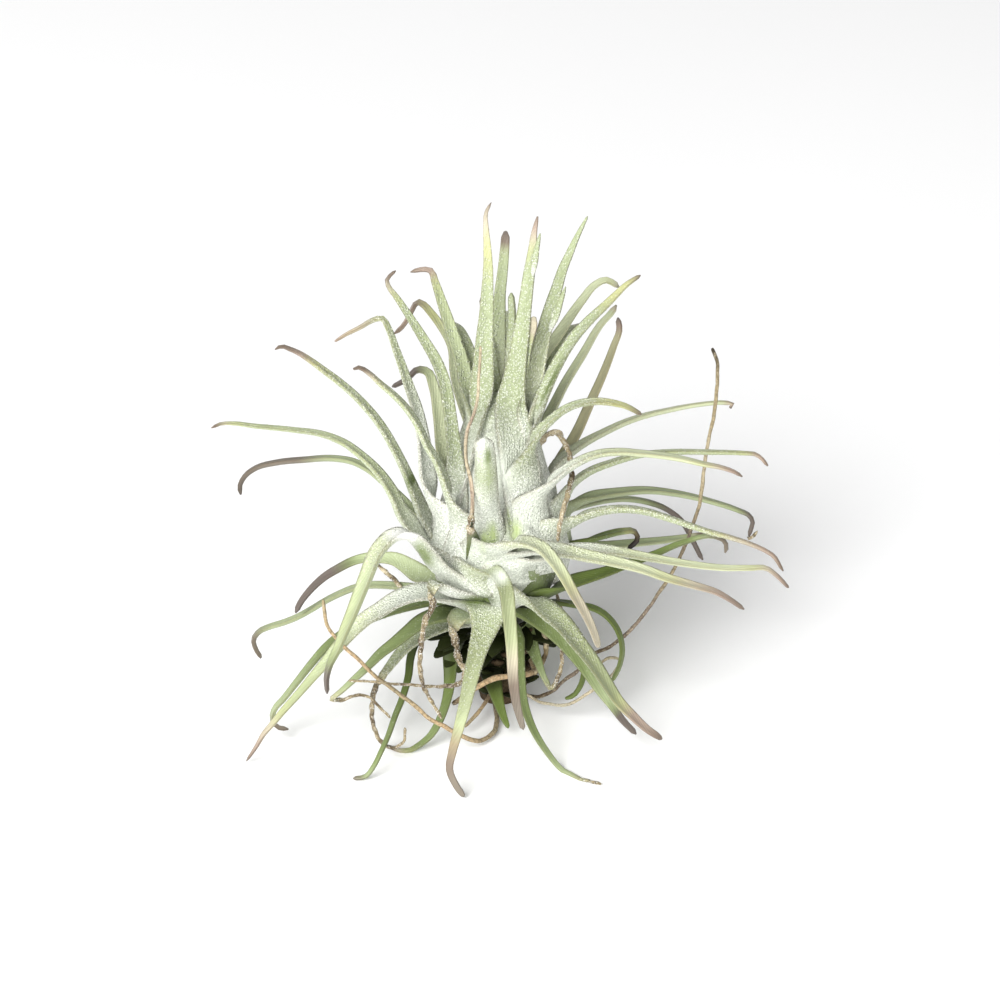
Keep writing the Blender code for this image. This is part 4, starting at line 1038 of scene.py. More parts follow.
def turned_core():
    heights = np.linspace(CROWN_BOTTOM, CROWN_TOP, CORE_RINGS)
    turns = np.linspace(0, math.tau, CORE_SIDES, endpoint=False)
    rows = []
    for z in heights:
        wrap = (WRAPS * (turns + WRAP_TWIST * z) / math.tau) % 1
        lift = WRAP_STEP * wrap * np.clip((z - 15) / 4, 0, 1) * np.clip((46 - z) / 8, 0, 1)
        reach = core_radius(z) + lift
        rows.append(np.column_stack([reach * np.cos(turns), reach * np.sin(turns) + core_lean(z),
                                     np.full(CORE_SIDES, z)]))
    corners = np.vstack([*rows[:-1], rows[-1][:1], [(0, 0, CROWN_BOTTOM)]])
    top = len(corners) - 2
    faces = tube_faces(CORE_RINGS - 1, CORE_SIDES)
    last = (CORE_RINGS - 2) * CORE_SIDES
    faces += [(last + k, last + (k + 1) % CORE_SIDES, top) for k in range(CORE_SIDES)]
    faces += [((k + 1) % CORE_SIDES, k, top + 1) for k in range(CORE_SIDES)]
    mesh = solid("core", corners, faces)
    z = corners[:, 2]
    # Painted shade: the core runs from near black at its bottom, which the leaves shade, through moss to
    # frosted white.
    tint = paint_along(["shade", "shade", "moss", "frosted", "frosted", "frosted", "pale"],
                       (z - CROWN_BOTTOM) / 33)
    coat = np.interp(z, [20, 25, 30, 40], [0.05, 0.4, 1, 1])
    write_look(mesh, tint, coat, np.zeros(len(z)),
               np.degrees(np.arctan2(corners[:, 1], corners[:, 0])) * 0.15, z)
    return mesh


crown = dress("crown", [turned_core(), *crown_meshes], "crown", scales=0.62, seed=5)
print("crown:", len(crown.data.polygons), "faces")

# %% [markdown]
# ## The arching leaves
# The older leaves arch out singly. Their table has the same columns, and the leaves that the
# photograph hides follow, as an arch of reach and height round the back.

# %% Arching leaves
LEAVES = {
    "leaf_left_high": ([(-6, -5.5), (-9, -4.4), (-10.7, -2.4), (-12, 0.5), (-13, 3), (-15, 7.2),
        (-17, 10.6), (-20, 14.2), (-25, 18.4), (-30, 21.6), (-31.3, 22), (-32.3, 21.4)],
        [-4, -1, 2, 4, 5, 5], [3, 2.8, 2.2, 1.9, 1.6, 1.2, 0.45], "frosted", "hooked", 8),
    "leaf_left_middle": ([(-8, -7.5), (-10.7, -5.8), (-12.5, -3.9), (-14, -2), (-15, 0.3), (-17, 3.5),
        (-20, 6.5), (-22, 8), (-25, 9.3), (-30, 10.1), (-35, 10.6), (-38.5, 11), (-40, 10.9),
        (-41.4, 10.2)], [0, 4, 5, 6, 5, 5], [3.6, 3.4, 2.5, 1.7, 1.1, 0.8, 0.4], "pale", "brown", 11),
    "leaf_left_behind": ([(-7, -6), (-12, -2), (-15.5, 1.5), (-19, 4.5), (-21, 5.5), (-24, 6), (-28, 5.8),
        (-32, 5.4), (-35, 4.6), (-36.5, 3.5), (-37.3, 1.8), (-37, 0.6)], [-4, -7, -10, -13, -15, -16],
        [2.2, 1.8, 1.5, 1.5, 1.4, 1.1], "olive", "dusky", 5),
    "leaf_left_short": ([(-5, -4), (-7, 0), (-7.8, 2.5), (-9, 5.5), (-10.5, 8), (-11.5, 10.3), (-13, 12.7),
        (-15, 14.9), (-17, 16.6), (-19, 18.4), (-20.1, 19), (-21, 18.7)], [4, 8, 10, 11, 12],
        [3, 2.6, 2, 1.7, 1.3, 0.5], "frosted", "brown", 8),
    "leaf_left_hook": ([(-5, -2), (-8, 6), (-8.8, 12), (-9.5, 16), (-10.6, 18.4), (-11.8, 18.6),
        (-13.3, 17.3), (-15.6, 16.1)], [-2, -6, -9, -11, -12], [3, 2.2, 2, 1.6, 0.8], "celadon_painted_light", "purple",
        4),
    "leaf_left_bent": ([(-6, -3.5), (-9, -1), (-10.4, 3), (-11, 8), (-12, 13), (-13, 16), (-14, 19),
        (-15, 21.8), (-16, 24.6), (-16.9, 26), (-18, 25.8), (-20, 24.7), (-22, 23.7), (-23.7, 22.6)],
        [1, 2, 3, 4, 4, 4], [3.4, 3.3, 2.7, 2.1, 1.4, 0.9, 0.4], "dusted", "light", 9),
    "leaf_right_behind": ([(5, -2), (9, 6), (11, 9.5), (12.8, 13.5), (14.8, 18), (16.3, 22), (17.1, 24.5),
        (16.8, 26.2)], [-5, -9, -12, -14, -15], [2.6, 2.2, 1.9, 1.5, 0.9], "khaki", "dull", 5),
    "leaf_toward_eye": ([(-2, -6), (-2, -2), (-2, 2), (-2.1, 6), (-2.3, 9)], [4.4, 8, 13, 18.5, 23],
        [3.2, 3.2, 3.2, 3, 2.6], "fuzzy", "none", 4),
    "leaf_dry_thread": ([(-4, -7.8), (-4, -5.8), (-4.2, -3.6), (-4, -2), (-4, 0), (-4.2, 3), (-4.8, 5.5),
        (-4.9, 8), (-4.6, 10), (-3.8, 12), (-3.3, 14), (-3, 18), (-2.8, 22)], [4.5, 11.5, 12, 12, 12, 12],
        [2.4, 2.2, 0.9, 0.6, 0.55, 0.5, 0.48, 0.45, 0.42, 0.4, 0.35], "moss", "thread", 2),
    "leaf_right_short": ([(3, 2), (3.8, 6), (5, 9), (7, 11.2), (9, 12.8), (11, 13.7), (13.5, 14.1),
        (16, 13.9), (18, 13.4), (20.3, 12.2)], [4, 8, 9, 10, 11], [3.4, 3, 2.1, 1.6, 1.3, 0.6], "frosted",
        "yellow", 6),
    "leaf_right_long": ([(5, 0), (9, 6), (12, 8.2), (15, 9.8), (18, 11.2), (21, 12.2), (24, 12.9),
        (27, 13.5), (30, 13.9), (32, 14), (33.3, 13.7), (32.7, 12.9)], [-2, -4, -8, -11, -14, -15],
        [3, 2.4, 1.9, 1.5, 1.1, 0.8], "celadon_painted_light", "rose", 9),
    "leaf_right_channelled": ([(3, -4), (5, 0), (8, 3.3), (11, 5.4), (14, 6.6), (17, 6.9), (20, 6.7),
        (23, 6.4), (26, 5.9), (29, 5.2), (32, 4.6), (34, 3.8), (34.8, 3.2)], [4, 7, 8, 8, 8, 8],
        [3.4, 2.8, 2, 1.6, 1.2, 0.45], "frost_and_painted_light", "peach", 9),
    "leaf_right_level": ([(6, -4), (8.5, -1), (10, 2), (12.5, 4), (16, 5.4), (20, 6.5), (24, 6.9),
        (30, 6.9), (35, 6.75), (36.5, 6.6), (37.6, 5.8), (38.3, 4.8)], [1, 1, 2, 3, 4, 4],
        [2.6, 2.2, 1.7, 1.3, 1, 0.45], "pale", "pink", 8),
    "leaf_right_elbow": ([(5, -6), (8, -3), (10, -0.9), (13, 0.4), (17, 1.1), (21, 1.4), (25, 1),
        (28, 0.4), (31, -0.4), (34, -1.4), (35.8, -2.3), (36.2, -3), (36, -4), (35.5, -5.4)],
        [-2, -5, -8, -11, -13, -14], [3, 2.4, 2, 1.6, 1.2, 0.8], "olive", "purple", 9),
    "leaf_right_far": ([(4, -4), (8, -2), (13, -0.4), (18, 0.2), (21, -0.2), (24, -1.3), (26.2, -3.2),
        (27.6, -5.8), (29, -8.6)], [-6, -12, -17, -21, -23], [2.2, 1.6, 1.4, 1.5, 0.8], "olive", "purple",
        4),
    "leaf_right_tipped": ([(5, -7), (8, -4.2), (10, -3.2), (12, -2.2), (15, -1.4), (18, -1.2), (21, -1.6),
        (24, -2.5), (27, -3.5), (30, -4.5), (33, -5.3), (35.5, -6.1), (38, -7.2), (39.2, -8), (40, -9.3),
        (40.5, -10.2)], [3, 4, 4, 4, 4, 4], [3.4, 2.8, 2.3, 1.9, 1.4, 1, 0.45], "frosted", "peach", 9),
    "leaf_right_dark_hook": ([(6, -8), (10, -6.5), (12, -5.9), (15, -5), (18, -4.4), (19.2, -4.4),
        (19.8, -5.4), (19, -6.5), (18.3, -7)], [-2, -3, -4, -5], [2.2, 1.6, 1.4, 0.9], "deep", "black", 4),
    "leaf_right_back": ([(5, -8), (10, -6.8), (15, -6.6), (19, -6.2), (23, -5.8), (27, -5.3),
        (29.5, -4.9)], [-7, -9, -12, -15], [2.2, 1.8, 1.5, 1], "olive", "brown", 5),
    "leaf_right_under": ([(4.5, -14), (6.5, -13.2), (9, -12.2), (12, -11.3), (15, -10.4), (18, -9.3),
        (22.5, -7.6), (25, -6.5), (27, -5.8), (29, -5.2), (31, -5.3), (32.2, -6), (32.4, -6.8),
        (32.1, -7.7)], [-1, 1, 2, 2, 2], [2.6, 2.2, 1.5, 0.9, 0.6], "deep", "grey", 9),
    "leaf_right_front": ([(1, -11), (2.4, -9.4), (5, -8.3), (7, -7.8), (10, -7.2), (13, -7), (16, -7.3),
        (20, -8), (24, -8.7), (28, -9.3), (32, -9.7), (36, -9.7), (38, -9.7), (39.5, -10.7),
        (41.4, -12.7)], [5, 7.5, 8, 8, 7, 6], [3.6, 3, 2.2, 1.7, 1.3, 1, 0.5], "frost_and_painted_light", "peach", 11),
    "leaf_right_near": ([(-0.6, -10.2), (1, -8.1), (4, -7), (8, -7.2), (12, -8), (16, -8.8), (20, -9.8),
        (24, -11.2), (28, -12.3), (31, -13.2), (33, -14.3), (35, -15.7)], [5, 11, 13, 13, 13],
        [3.6, 3.2, 2.6, 2, 1.4, 0.6], "frost_and_painted_light", "peach", 7),
    "leaf_front_right_droop": ([(-1.8, -8.1), (-0.6, -7), (0.6, -6.4), (2, -6), (4, -6.1), (6, -7),
        (7.5, -8.6), (9, -10.8), (10.5, -13.5), (12, -16), (13.2, -18.5), (14.2, -21.3)],
        [5, 14, 17, 18, 18, 17], [4.6, 4.2, 3, 2.2, 1.7, 1.1], "frost_and_painted_light", "cream", 8),
    "leaf_front_centre_droop": ([(-5.2, -12.6), (-4.2, -11), (-3, -10.1), (-1, -10.3), (0.2, -11.5),
        (0.8, -13), (1.2, -16), (1.5, -19), (1.7, -22), (1.8, -25), (2, -27), (2.3, -29), (2.8, -31),
        (3.4, -33)], [0, 9, 13, 13, 12, 10, 8], [3.6, 3.4, 2.4, 2, 1.7, 1.4, 0.8], "hood", "rounded", 8),
    "leaf_front_left_droop": ([(-1.6, -13.2), (-1.8, -16), (-2.2, -18.5), (-3, -21), (-3.8, -24),
        (-4.5, -27), (-5.2, -30), (-6, -33), (-6.8, -36), (-7.2, -38.5), (-6.4, -40.5), (-5.1, -42.4)],
        [0, 5, 8, 9, 9, ON_TABLE], [4.2, 3.3, 2.5, 2, 1.5, 1.1, 0.9], "smooth", "fading", 6),
    "leaf_front_right_wide": ([(1, -12), (3, -13.5), (5, -14.5), (7, -16.2), (9, -18), (11, -20.5),
        (13, -23), (15, -26), (17, -29), (19, -31), (21, -32.8), (23.2, -34.2)], [2, 5, 7, 7, 6, 5],
        [3.6, 3.6, 3.1, 2.5, 1.8, 1], "smooth", "pink", 8),
    "leaf_front_right_under": ([(2, -15), (5, -17), (8, -19.5), (10, -21.7), (12, -24.2), (14, -27),
        (16, -29.5), (17.5, -31.5), (19.6, -33.6)], [0, 1, 2, 1, 0], [2.2, 1.8, 1.5, 1.3, 0.8], "moss",
        "purple", 6),
    "leaf_front_thin": ([(0, -15), (1.8, -19), (2.6, -24), (3.3, -29), (4.8, -33), (6.6, -35.9),
        (9.7, -39.4), (11.4, -40.6), (12.8, -40.6), (14.5, -40.6)], [-4, -2, 0, 2, ON_TABLE, ON_TABLE],
        [2.2, 1.7, 1.4, 0.9, 0.35], "moss", "dry", 7),
    "leaf_front_pointed": ([(1.5, -16), (3, -18), (4.5, -21), (5.5, -23.5), (6.5, -25.8), (7.3, -26.9),
        (8, -26), (8.7, -24), (8.9, -20.5), (9.4, -17.6), (8.8, -15.6), (8, -13.3)],
        [-9, -6, -4, -4, -4.5], [2.2, 1.9, 0.9, 0.6, 0.5, 0.4], "moss", "dry", 5),
    "leaf_low_spike": ([(-1.8, -21.6), (-1, -26), (-0.2, -29), (0.5, -31), (1.2, -32.6)], [-12, -8, -6],
        [2.4, 1.8, 0.7], "gloom", "none", 4),
    "leaf_right_loop": ([(3.5, -14.5), (8, -14.5), (11, -15), (13.5, -15.5), (15.5, -16.8), (17, -19),
        (17.5, -21.5), (17, -24), (16, -26)], [-5, -4, -3, -3, -3], [1.8, 1.3, 1.1, 0.7], "deep", "none",
        8),
    "leaf_right_low": ([(3, -16.6), (7, -16.6), (10.2, -18.6), (11.6, -21.5), (12, -24.5), (11.4, -26.7),
        (10.4, -28), (9.3, -28.4)], [-10, -8, -7, -7, -7], [1.8, 1.2, 1, 0.7], "gloom", "none", 7),
    "leaf_left_front_arch": ([(-7, -10.8), (-9.3, -9.1), (-11, -6.8), (-13.2, -4.8), (-15, -5),
        (-16.5, -6.2), (-17.8, -8), (-18.8, -10.5), (-19.8, -13), (-21, -16), (-22.3, -19), (-23.3, -21.5),
        (-24.3, -23.5), (-24.8, -25.5), (-24.7, -27.8)], [2, 11, 14, 15, 14, 13],
        [3.6, 3.8, 3.7, 3.2, 2.6, 1.7, 0.6], "crest", "purple", 12),
    "leaf_left_purple": ([(-8, -12), (-11, -11), (-13, -9.6), (-15, -8.5), (-17, -8.3), (-19, -8.3),
        (-21, -8.8), (-23, -9.8), (-25, -11), (-27, -12.8), (-28.5, -14.7), (-29.3, -16.3)],
        [-1, -5, -8, -10, -11], [3, 2.2, 1.6, 1.4, 0.9], "olive", "purple", 6),
    "leaf_left_curl": ([(-5, -13.5), (-9, -12.9), (-13, -12.5), (-16, -12.2), (-19, -12.2), (-21, -12.6),
        (-23, -13.4), (-25, -14.4), (-27, -15.6), (-29, -16.7), (-31, -17.5), (-33, -18.1), (-34.5, -18.8),
        (-35.3, -20), (-35, -21.3), (-34, -22.8)], [-7, -9, -12, -14, -15], [2, 1.6, 1.4, 1.3, 1], "olive",
        "grey", 11),
    "leaf_left_low_wide": ([(-4.5, -14.5), (-9, -13.5), (-11, -13.3), (-13, -13.7), (-15, -14.5),
        (-17, -15.8), (-19, -17), (-21, -18.8), (-23, -21), (-25, -23.4), (-27, -25.7), (-29, -28),
        (-31, -30.2), (-32.5, -32), (-33.8, -33.5), (-34.8, -35.2), (-36.3, -37.4)],
        [-1, 4, 5, 5, 4, 2, ON_TABLE], [3.6, 3.4, 2.9, 2.3, 1.5, 1, 0.35], "crest", "peach", 12),
    "leaf_left_low_behind": ([(-5, -14.2), (-9, -14.4), (-13, -15.2), (-18, -16.8), (-23, -19.5),
        (-25, -21.2), (-27, -23.5), (-29, -26), (-31, -28.5), (-32.3, -30), (-32.6, -31.3), (-32, -32.4),
        (-30, -32.8)], [-4.5, -4, -2, -1, -3, -5], [2, 2, 1.7, 1.3, 0.8], "moss", "grey", 9),
    "leaf_left_low_torn": ([(-4, -16.2), (-9, -16.7), (-11, -17.4), (-13, -18.9), (-15, -20.5), (-17, -22),
        (-19, -24), (-21, -25.8), (-23, -27.6), (-24.1, -28.5), (-22.5, -28.5), (-20.5, -27.9),
        (-18.4, -28.3), (-17.3, -29.5), (-15.5, -31.3)], [-5, 0, 2, 2, 1, 0], [3, 2.7, 2, 1.1, 0.5, 0.35],
        "moss", "dry", 9),
    "leaf_left_low_twisted": ([(-3.5, -16.5), (-8, -17.8), (-10, -18.7), (-12, -19.9), (-14, -21.7),
        (-15.5, -23.5), (-16.8, -25.2), (-17.8, -26.8), (-18.2, -28.4), (-18.3, -30), (-18, -32.5),
        (-17.2, -34.3), (-15.2, -35.4), (-13.8, -34.6), (-13.6, -32.5)], [-8, -5, -4, -2, 0, 1],
        [2.8, 2.8, 1.9, 0.8, 0.6, 0.35], "frosted", "dry", 6),
    "leaf_left_thin": ([(-3.5, -17.5), (-9.5, -18.5), (-12, -20.5), (-12.7, -22.5), (-13, -25),
        (-13.8, -28), (-15, -31), (-16, -33.8), (-17, -36), (-18, -38), (-19.2, -39.5), (-21, -39.8)],
        [-12, -11, -8, -3, 3, ON_TABLE], [1.8, 1.3, 1.2, 1, 0.8, 0.64], "shaded", "grey", 10),
    "leaf_left_loop": ([(-2, -18), (-5.6, -19), (-6.8, -22), (-7, -25), (-7.2, -27), (-7.8, -29.5),
        (-8.7, -31.8), (-10, -33.8), (-11.5, -35), (-13.3, -35.9), (-16.5, -35)],
        [-10, -7, -6, -4, -3, -3], [2.8, 2.4, 1.6, 1.1, 0.45], "shaded", "brown", 9),
    "leaf_pale_dry_tail": ([(-5, -13.4), (-7.4, -12.8), (-9.3, -12.1), (-9.9, -13.4), (-9.6, -15),
        (-10.6, -17), (-11, -19), (-11.3, -21), (-11.3, -25), (-11, -26.5), (-10.2, -28), (-8.3, -31.3)],
        [1.5, 8, 9, 8, 7, 6], [3, 3.2, 2.9, 1.6, 0.95, 0.9, 0.8, 0.7, 0.6, 0.5, 0.4], "white", "dry", 4),
    "leaf_stub_dry_tail": ([(-2.5, -16.4), (-6, -17.1), (-6.8, -18.5), (-6.4, -20), (-6.2, -21.5),
        (-5.8, -23), (-4.9, -24.5), (-5.8, -26.2), (-7.5, -26.6), (-10, -26.6), (-13, -26.4), (-16, -26.2),
        (-19, -25.9), (-21.8, -25.8)], [-1, 2.5, 4, 5, 6.5, 6.5], [4.2, 3.9, 1.5, 1.1, 1, 0.7, 0.45, 0.4,
        0.36, 0.33, 0.3], "olive", "dry", 2),
    "leaf_right_dry_strand": ([(4, 5), (6.2, 9), (8, 9.7), (9.3, 8), (10, 6), (10.2, 3), (9.9, 2),
        (9.6, 0.5), (9, -1.5), (8.5, -3.5), (8.3, -6)], [1.5, 2, 3.6, 5, 6.5, 7.5], [0.8, 0.75, 0.8, 0.55],
        "dry", "none", 10),
}
HIDDEN_LEAVES = [
    (-0.65, [(3, 17.5), (9, 19), (16, 15), (21, 7), (24, 2)], [2.6, 2.2, 1.7, 1.3, 0.8]),
    (0.62, [(3, 20), (10, 25), (18, 23), (26, 14), (31, 7)], [2.8, 2.4, 1.8, 1.3, 0.8]),
    (-1.1, [(3, 22), (11, 29), (20, 24), (27, 9), (30, 0)], [3, 2.6, 2, 1.4, 0.8]),
    (-0.55, [(3, 30), (10, 39), (19, 42), (29, 37), (35, 30)], [3, 2.5, 1.9, 1.4, 0.8]),
    (0.0, [(3, 25), (12, 33), (22, 32), (31, 25), (36, 18)], [3, 2.6, 2, 1.4, 0.8]),
    (0.5, [(3, 31), (8, 40), (15, 45), (23, 43), (29, 37)], [2.8, 2.3, 1.8, 1.3, 0.8]),
    (1.0, [(3, 22), (11, 30), (20, 27), (28, 12), (31, 0)], [3, 2.6, 2, 1.4, 0.8]),
    (0.3, [(3, 18), (9, 20), (16, 17), (22, 8), (25, 1)], [2.6, 2.2, 1.7, 1.3, 0.8]),
]
# How much wider than its blade a sheath is, and how far down the crown it runs.
LONG_SHEATHS = {
    "leaf_dry_thread": (0, 0), "leaf_right_short": (1.2, 9), "leaf_right_channelled": (1.4, 8),
    "leaf_right_level": (1.3, 7), "leaf_right_elbow": (1.3, 7), "leaf_right_long": (1.3, 8),
    "leaf_left_short": (1.2, 9), "leaf_left_bent": (1.2, 9), "leaf_left_hook": (1.2, 9),
    "leaf_right_behind": (1.2, 8),
}
FLARES = {
    "leaf_front_centre_droop": 1.5, "leaf_front_right_droop": 1.0, "leaf_right_near": 1.4,
    "leaf_right_front": 1.5, "leaf_left_front_arch": 1.5, "leaf_left_low_wide": 1.4,
    "leaf_left_purple": 1.4, "leaf_toward_eye": 1.0, "leaf_front_right_wide": 1.5,
    "leaf_front_left_droop": 1.1, "leaf_right_under": 1.6, "leaf_right_tipped": 1.4,
    "leaf_front_right_under": 1.8, "leaf_front_thin": 2.2, "leaf_left_low_torn": 1.8,
    "leaf_left_low_twisted": 1.8, "leaf_left_loop": 1.8, "leaf_left_thin": 2.2, "leaf_left_middle": 1.3,
    "leaf_left_high": 1.3,
}
EXTRAS = {
    # The dried knot at the thread's foot, and its hole, painted near black as painted shade.
    "leaf_dry_thread": [([(-4.1, -4.8), (-4.2, -3.9), (-4.1, -3), (-4, -2)], [12, 12.5, 12.6, 12.2],
        [0.8, 1.6, 1.5, 0.6], "dry", "none"), ([(-4.15, -3.9), (-4, -3.1)], [13.2, 13.2], [0.5, 0.8, 0.5],
        "dark", "none")],
    "leaf_left_curl": [([(-17.4, -9.3), (-16, -10.6), (-14.9, -11.6), (-13.9, -12.9)], [-9, -8.4, -8.6],
        [0.5, 0.7, 0.6], "dry", "none")],
    "leaf_right_elbow": [([(35.4, -5.5), (36, -5.3), (36.8, -4.4)], [-14, -13.8, -13.4], [0.6, 0.5, 0.3],
        "dry", "none")],
}
OLIVE_TONES = ("olive", "moss", "deep", "khaki", "shaded", "gloom")


def finish_of(tone):
    return "dry" if tone == "dry" else "olive" if tone in OLIVE_TONES else "pale"


for k, (label, (line, depths, widths, tone, tip, knot)) in enumerate(LEAVES.items()):
    flare, run = LONG_SHEATHS.get(label, (FLARES.get(label, 0.9), 5))
    mesh = blade(label, drawn_path(line, depths), widths, tone, tip, knot_share(line, knot),
                 run=run, flare=flare, seed=LEAF_SEED + k)
    others = [blade(label, drawn_path(way, far), broad, colour, end, 1, run=0, flare=0, seed=EXTRA_SEED + k)
              for way, far, broad, colour, end in EXTRAS.get(label, [])]
    dress(label, [mesh, *others], finish_of(tone), seed=k)
for k, (share, arch, widths) in enumerate(HIDDEN_LEAVES):
    mesh = blade("far", hidden_path(share, arch), widths, "pale", "brown", 0.88, run=13, flare=2.0,
                 seed=HIDDEN_SEED + k)
    dress(f"leaf_back_{k + 1}", [mesh], "pale", seed=HIDDEN_SCALE_SEED + k)
print("arching leaves:", len(LEAVES) + len(HIDDEN_LEAVES))

# %% [markdown]
# ## Roots
# The roots are dead wire that once held the plant to a branch. A Geometry Nodes tree sweeps a
# ragged round section along each drawn curve, with the radius read from the curve's own points.

# %% Root tree
root_wire, wire_in, wire_out = new_group(
    "root_wire", "GeometryNodeTree",
    {"Geometry": ("NodeSocketGeometry", None), "Sides": ("NodeSocketInt", 10),
     "Raggedness mm": (FLOAT, 0.07), "Seed": (FLOAT, 0.0), "Finish": ("NodeSocketMaterial", None)},
    {"Geometry": "NodeSocketGeometry"})


def build_wire(tree, given, result):
    along = place(tree, "GeometryNodeSplineParameter").outputs["Length"]
    in_mm = times(along, 1 / MM)
    marked = place(tree, "GeometryNodeStoreNamedAttribute",
                   {"Geometry": given["Geometry"], "Name": "along", "Value": in_mm},
                   data_type="FLOAT", domain="POINT").outputs[0]
    ring = place(tree, "GeometryNodeCurvePrimitiveCircle",
                 {"Resolution": given["Sides"], "Radius": MM / 2}, mode="RADIUS").outputs[0]
    around = place(tree, "GeometryNodeSplineParameter").outputs["Factor"]
    ring = place(tree, "GeometryNodeStoreNamedAttribute",
                 {"Geometry": ring, "Name": "across", "Value": around},
                 data_type="FLOAT", domain="POINT").outputs[0]
    radius = place(tree, "GeometryNodeInputRadius").outputs[0]
    tube = place(tree, "GeometryNodeCurveToMesh",
                 {"Curve": marked, "Profile Curve": ring, "Scale": radius, "Fill Caps": True}).outputs[0]
    at = place(tree, "GeometryNodeInputPosition").outputs[0]
    rough = place(tree, "ShaderNodeTexNoise",
                  {"Vector": at, "W": given["Seed"], "Scale": 1500.0, "Detail": 2.0},
                  noise_dimensions="4D").outputs["Fac"]
    push = times(less(rough, 0.5), times(given["Raggedness mm"], 2 * MM))
    normal = place(tree, "GeometryNodeInputNormal").outputs[0]
    offset = place(tree, "ShaderNodeVectorMath", {0: normal, "Scale": push}, operation="SCALE").outputs[0]
    ragged = place(tree, "GeometryNodeSetPosition", {"Geometry": tube, "Offset": offset}).outputs[0]
    real = place(tree, "GeometryNodeRealizeInstances", {"Geometry": ragged}).outputs[0]
    done = place(tree, "GeometryNodeSetMaterial",
                 {"Geometry": real, "Material": given["Finish"]}).outputs[0]
    tree.links.new(done, result["Geometry"])


build_wire(root_wire, wire_in, wire_out)

# %% Roots
ROOTS = {
    "root_left_long": ([(-1, -28), (-0.5, -30.5), (-0.8, -33), (-3, -34.4), (-5, -33.9), (-6.5, -33.2),
        (-8, -32.3), (-10, -31.3), (-12, -29.5), (-14, -28), (-16, -26.5), (-18, -25), (-20, -23),
        (-22, -21.2), (-23.5, -19.7), (-24.6, -18), (-25.1, -16), (-25.3, -14)], [-14, -5, 0, 2, 5, 8, 9],
        0.75, 0.5, ["umber", "tan", "amber", "tan", "amber", "tan"]),
    "root_right_long": ([(2, -27.5), (6, -28), (7.5, -27.3), (9, -25.9), (11, -24.5), (12.3, -23.2),
        (13.5, -21.9), (15, -21.3), (17, -20), (19, -18.2), (20.5, -16.4), (22, -14.3), (23.7, -11.8),
        (24.8, -10), (26, -7.5), (27, -5), (27.8, -2.8), (28.6, -0.3), (28.9, 2), (29.2, 5), (29.5, 7),
        (30, 9.5), (30.6, 12.5), (30.9, 15), (31.1, 18), (31, 20), (30.1, 22)],
        [-15, -9, -5, -1, -1, -2, -3], 0.55, 0.55, ["umber", "umber", "brown", "umber", "brown", "brown",
        "tan", "brown", "tan", "straw", "tan", "tan", "black"]),
    "root_stub_thick": ([(4, -22), (4.8, -24.5), (3.8, -24.9), (2.5, -25.2), (1, -25.2), (-0.5, -25.4),
        (-2, -26), (-3.2, -26.7), (-5, -28), (-7, -29.3)], [-13, -7, -6, -6], 0.9, 0.75,
        ["tan", "amber", "amber", "amber", "umber"]),
    "root_small": ([(-1.6, -26.6), (-1.6, -28.2), (-2.3, -29.2), (-3, -30.2), (-4, -31.3), (-5, -32.5)],
        [-14, -9, -6], 0.7, 0.5, ["umber", "amber", "tan"]),
    "root_loop": ([(0, -26.5), (2.7, -27.1), (4, -27.9), (6, -28.9), (8, -29.3), (10, -29.1), (12, -28),
        (13.5, -27), (15, -25.8), (16.5, -24.3), (17.2, -22.9), (15.5, -22.6), (14, -23.6)],
        [-16, -12, -9, -6, -5, -6], 0.5, 0.42, ["tan", "straw", "cream", "straw", "cream", "tan"]),
}
ROOT_STEP = 0.35
SWAY = 0.12
KNUCKLES = 0.18


def root(label, line, depths, thick, thin, paints, seed):
    path = drawn_path(line, depths)
    along = distance_along(path)
    stops = np.arange(0, along[-1], ROOT_STEP)
    points = smooth_through(along, path, stops)
    curve = bpy.data.curves.new(label, "CURVE")
    curve.dimensions = "3D"
    spline = curve.splines.new("POLY")
    spline.points.add(len(points) - 1)
    for k, point in enumerate(points):
        share = k / (len(points) - 1)
        sway = Vector([SWAY * noise.noise(Vector((stops[k] * 0.45, seed,
                                                  axis * 9.0))) for axis in range(3)])
        spline.points[k].co = (*((Vector(point) + sway) * MM), 1)
        knuckle = 1 + KNUCKLES * noise.noise(Vector((stops[k] * 0.5, seed * 3.1, 0)))
        close = min(1, (along[-1] - stops[k]) / 0.8 + 0.3)
        spline.points[k].radius = (thick + (thin - thick) * share) * knuckle * close
    wire = bpy.data.objects.new(label + "_line", curve)
    mesh = grown(wire, root_wire, Seed=float(seed), Finish=dry_skin)
    bpy.data.objects.remove(wire)
    values = np.zeros(len(mesh.vertices), np.float32)
    mesh.attributes["along"].data.foreach_get("value", values)
    colour = mesh.attributes.new("tint", "FLOAT_COLOR", "POINT")
    tint = paint_along(paints, values / along[-1])
    colour.data.foreach_set("color", np.column_stack([tint, np.ones(len(tint))]).astype(np.float32).ravel())
    dry = mesh.attributes.new("dry", "FLOAT", "POINT")
    dry.data.foreach_set("value", np.ones(len(values), np.float32))
    mesh.polygons.foreach_set("use_smooth", np.ones(len(mesh.polygons), bool))
    return dress(label, [mesh], "dry", scales=0, seed=seed)


for k, (label, values) in enumerate(ROOTS.items()):
    root(label, *values, seed=k + 1)
print("roots:", len(ROOTS))

# %% [markdown]
# ## The stub
# Under the crown is the woody stub, rough with the torn bases of dropped leaves. They sit in the
# same spiral as the leaves above: each one a golden-angle turn from the last.

# %% Stub
STEM_TOP = 14.0
SPIRAL = math.radians(137.5)
OLD_BASES = 60
BASE_RISE = 0.8
STUB_LUMPS = 0.35
STEM = np.array([(3.0, 0), (3.4, 3), (3.9, 7), (4.3, 11), (4.2, STEM_TOP)])


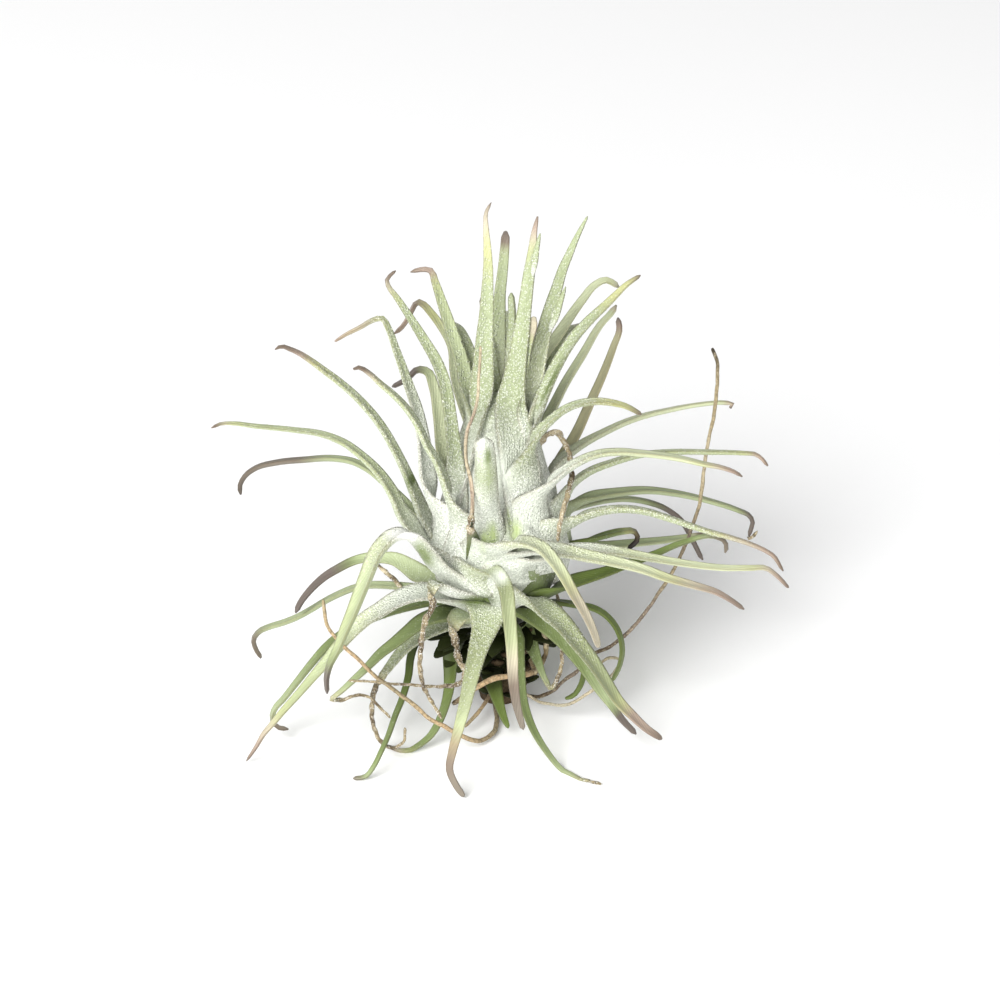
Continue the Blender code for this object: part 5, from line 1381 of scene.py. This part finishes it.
def stub_core():
    sides = 48
    heights = np.linspace(0, STEM_TOP, 40)
    turns = np.linspace(0, math.tau, sides, endpoint=False)
    corners = []
    for z in heights:
        for turn in turns:
            lump = STUB_LUMPS * noise.noise(Vector((math.cos(turn) * 2, math.sin(turn) * 2,
                                                    z * 0.5))) if z > 0 else 0
            reach = np.interp(z, STEM[:, 1], STEM[:, 0]) + lump
            corners.append((reach * math.cos(turn), reach * math.sin(turn), z))
    corners = np.array(corners)
    mesh = solid("stub", corners, capped(len(heights), sides))
    z = corners[:, 2]
    # Painted shade: the stub runs from umber at its foot to near black toward its top, under the crown.
    tint = paint_along(["umber", "umber", "shade", "shade", "shade"], z / STEM_TOP)
    write_look(mesh, tint, np.zeros(len(z)), np.ones(len(z)), np.tile(turns * 4, len(heights)), z)
    return mesh


def old_base(k):
    """A torn leaf base, short and dry, one of the spiral round the stub."""
    angle = math.radians(100) + k * SPIRAL
    height = 1.2 + k * (STEM_TOP - 3) / OLD_BASES
    reach = np.linspace(2.5, 5.0 + 1.2 * ((k * 7) % 5) / 5, PATH_SAMPLES)
    lift = np.linspace(height, height + 1.2 + (k * 3 % 4) * 0.5, PATH_SAMPLES)
    path = np.column_stack([reach * math.cos(angle), reach * math.sin(angle), lift])
    # Both tones carry painted shade: dark bases are near black, and bark has a near black band, for the
    # shade under the crown.
    tone = ("bark", "dark", "bark")[k % 3]
    return blade("old_base", path, [2.6, 2.2, 0.8], tone, flare=0, seed=OLD_BASE_SEED + k)


# Bases of dropped leaves under the crown, painted near black as painted shade where the crown shades
# them: angle in degrees, height, reach and droop.
DARK_BASES = [(196, 12.2, 11, 1.6), (208, 11, 10.8, 2.2), (220, 10.2, 10.4, 2), (232, 10.2, 10, 2.2),
              (244, 10, 9.4, 2.2), (212, 12.6, 10.6, 2.2), (180, 11.6, 10, 2), (168, 12, 10, 1.8),
              (330, 12.2, 8.8, 1.4), (348, 10.6, 8.4, 2), (300, 12.6, 8.4, 1.2),
              (262, 12.4, 8.2, 1.6), (20, 12.4, 8.8, 1.6), (60, 12.2, 8.6, 1.4), (100, 12.4, 8.6, 1.6),
              (140, 12.2, 9, 1.6)]


def dark_base(k):
    degrees, height, reach, droop = DARK_BASES[k]
    out = np.linspace(2.5, reach, PATH_SAMPLES)
    rise = BASE_RISE * np.sin(np.linspace(0, math.pi / 2, PATH_SAMPLES))
    fall = height + rise - droop * np.linspace(0, 1, PATH_SAMPLES) ** 2
    path = np.column_stack([out * math.cos(math.radians(degrees)), out * math.sin(math.radians(degrees)),
                            fall])
    return blade("dark_base", path, [3.6, 4.2, 3.4, 1.2], "dark", run=0, flare=0, seed=DARK_BASE_SEED + k)


STRAND = [(6.1, -18.4), (6.6, -20.4), (6.3, -22.6), (4.9, -25)]
strand = blade("strand", drawn_path(STRAND, [-7.5, -7, -7.5]), [0.9, 0.8, 0.5], "dry", run=0, flare=0,
               seed=STRAND_SEED)
stub = dress("stem", [stub_core(), *[old_base(k) for k in range(OLD_BASES)],
                      *[dark_base(k) for k in range(len(DARK_BASES))], strand], "bark", scales=0)
print("stub:", len(stub.data.polygons), "faces")
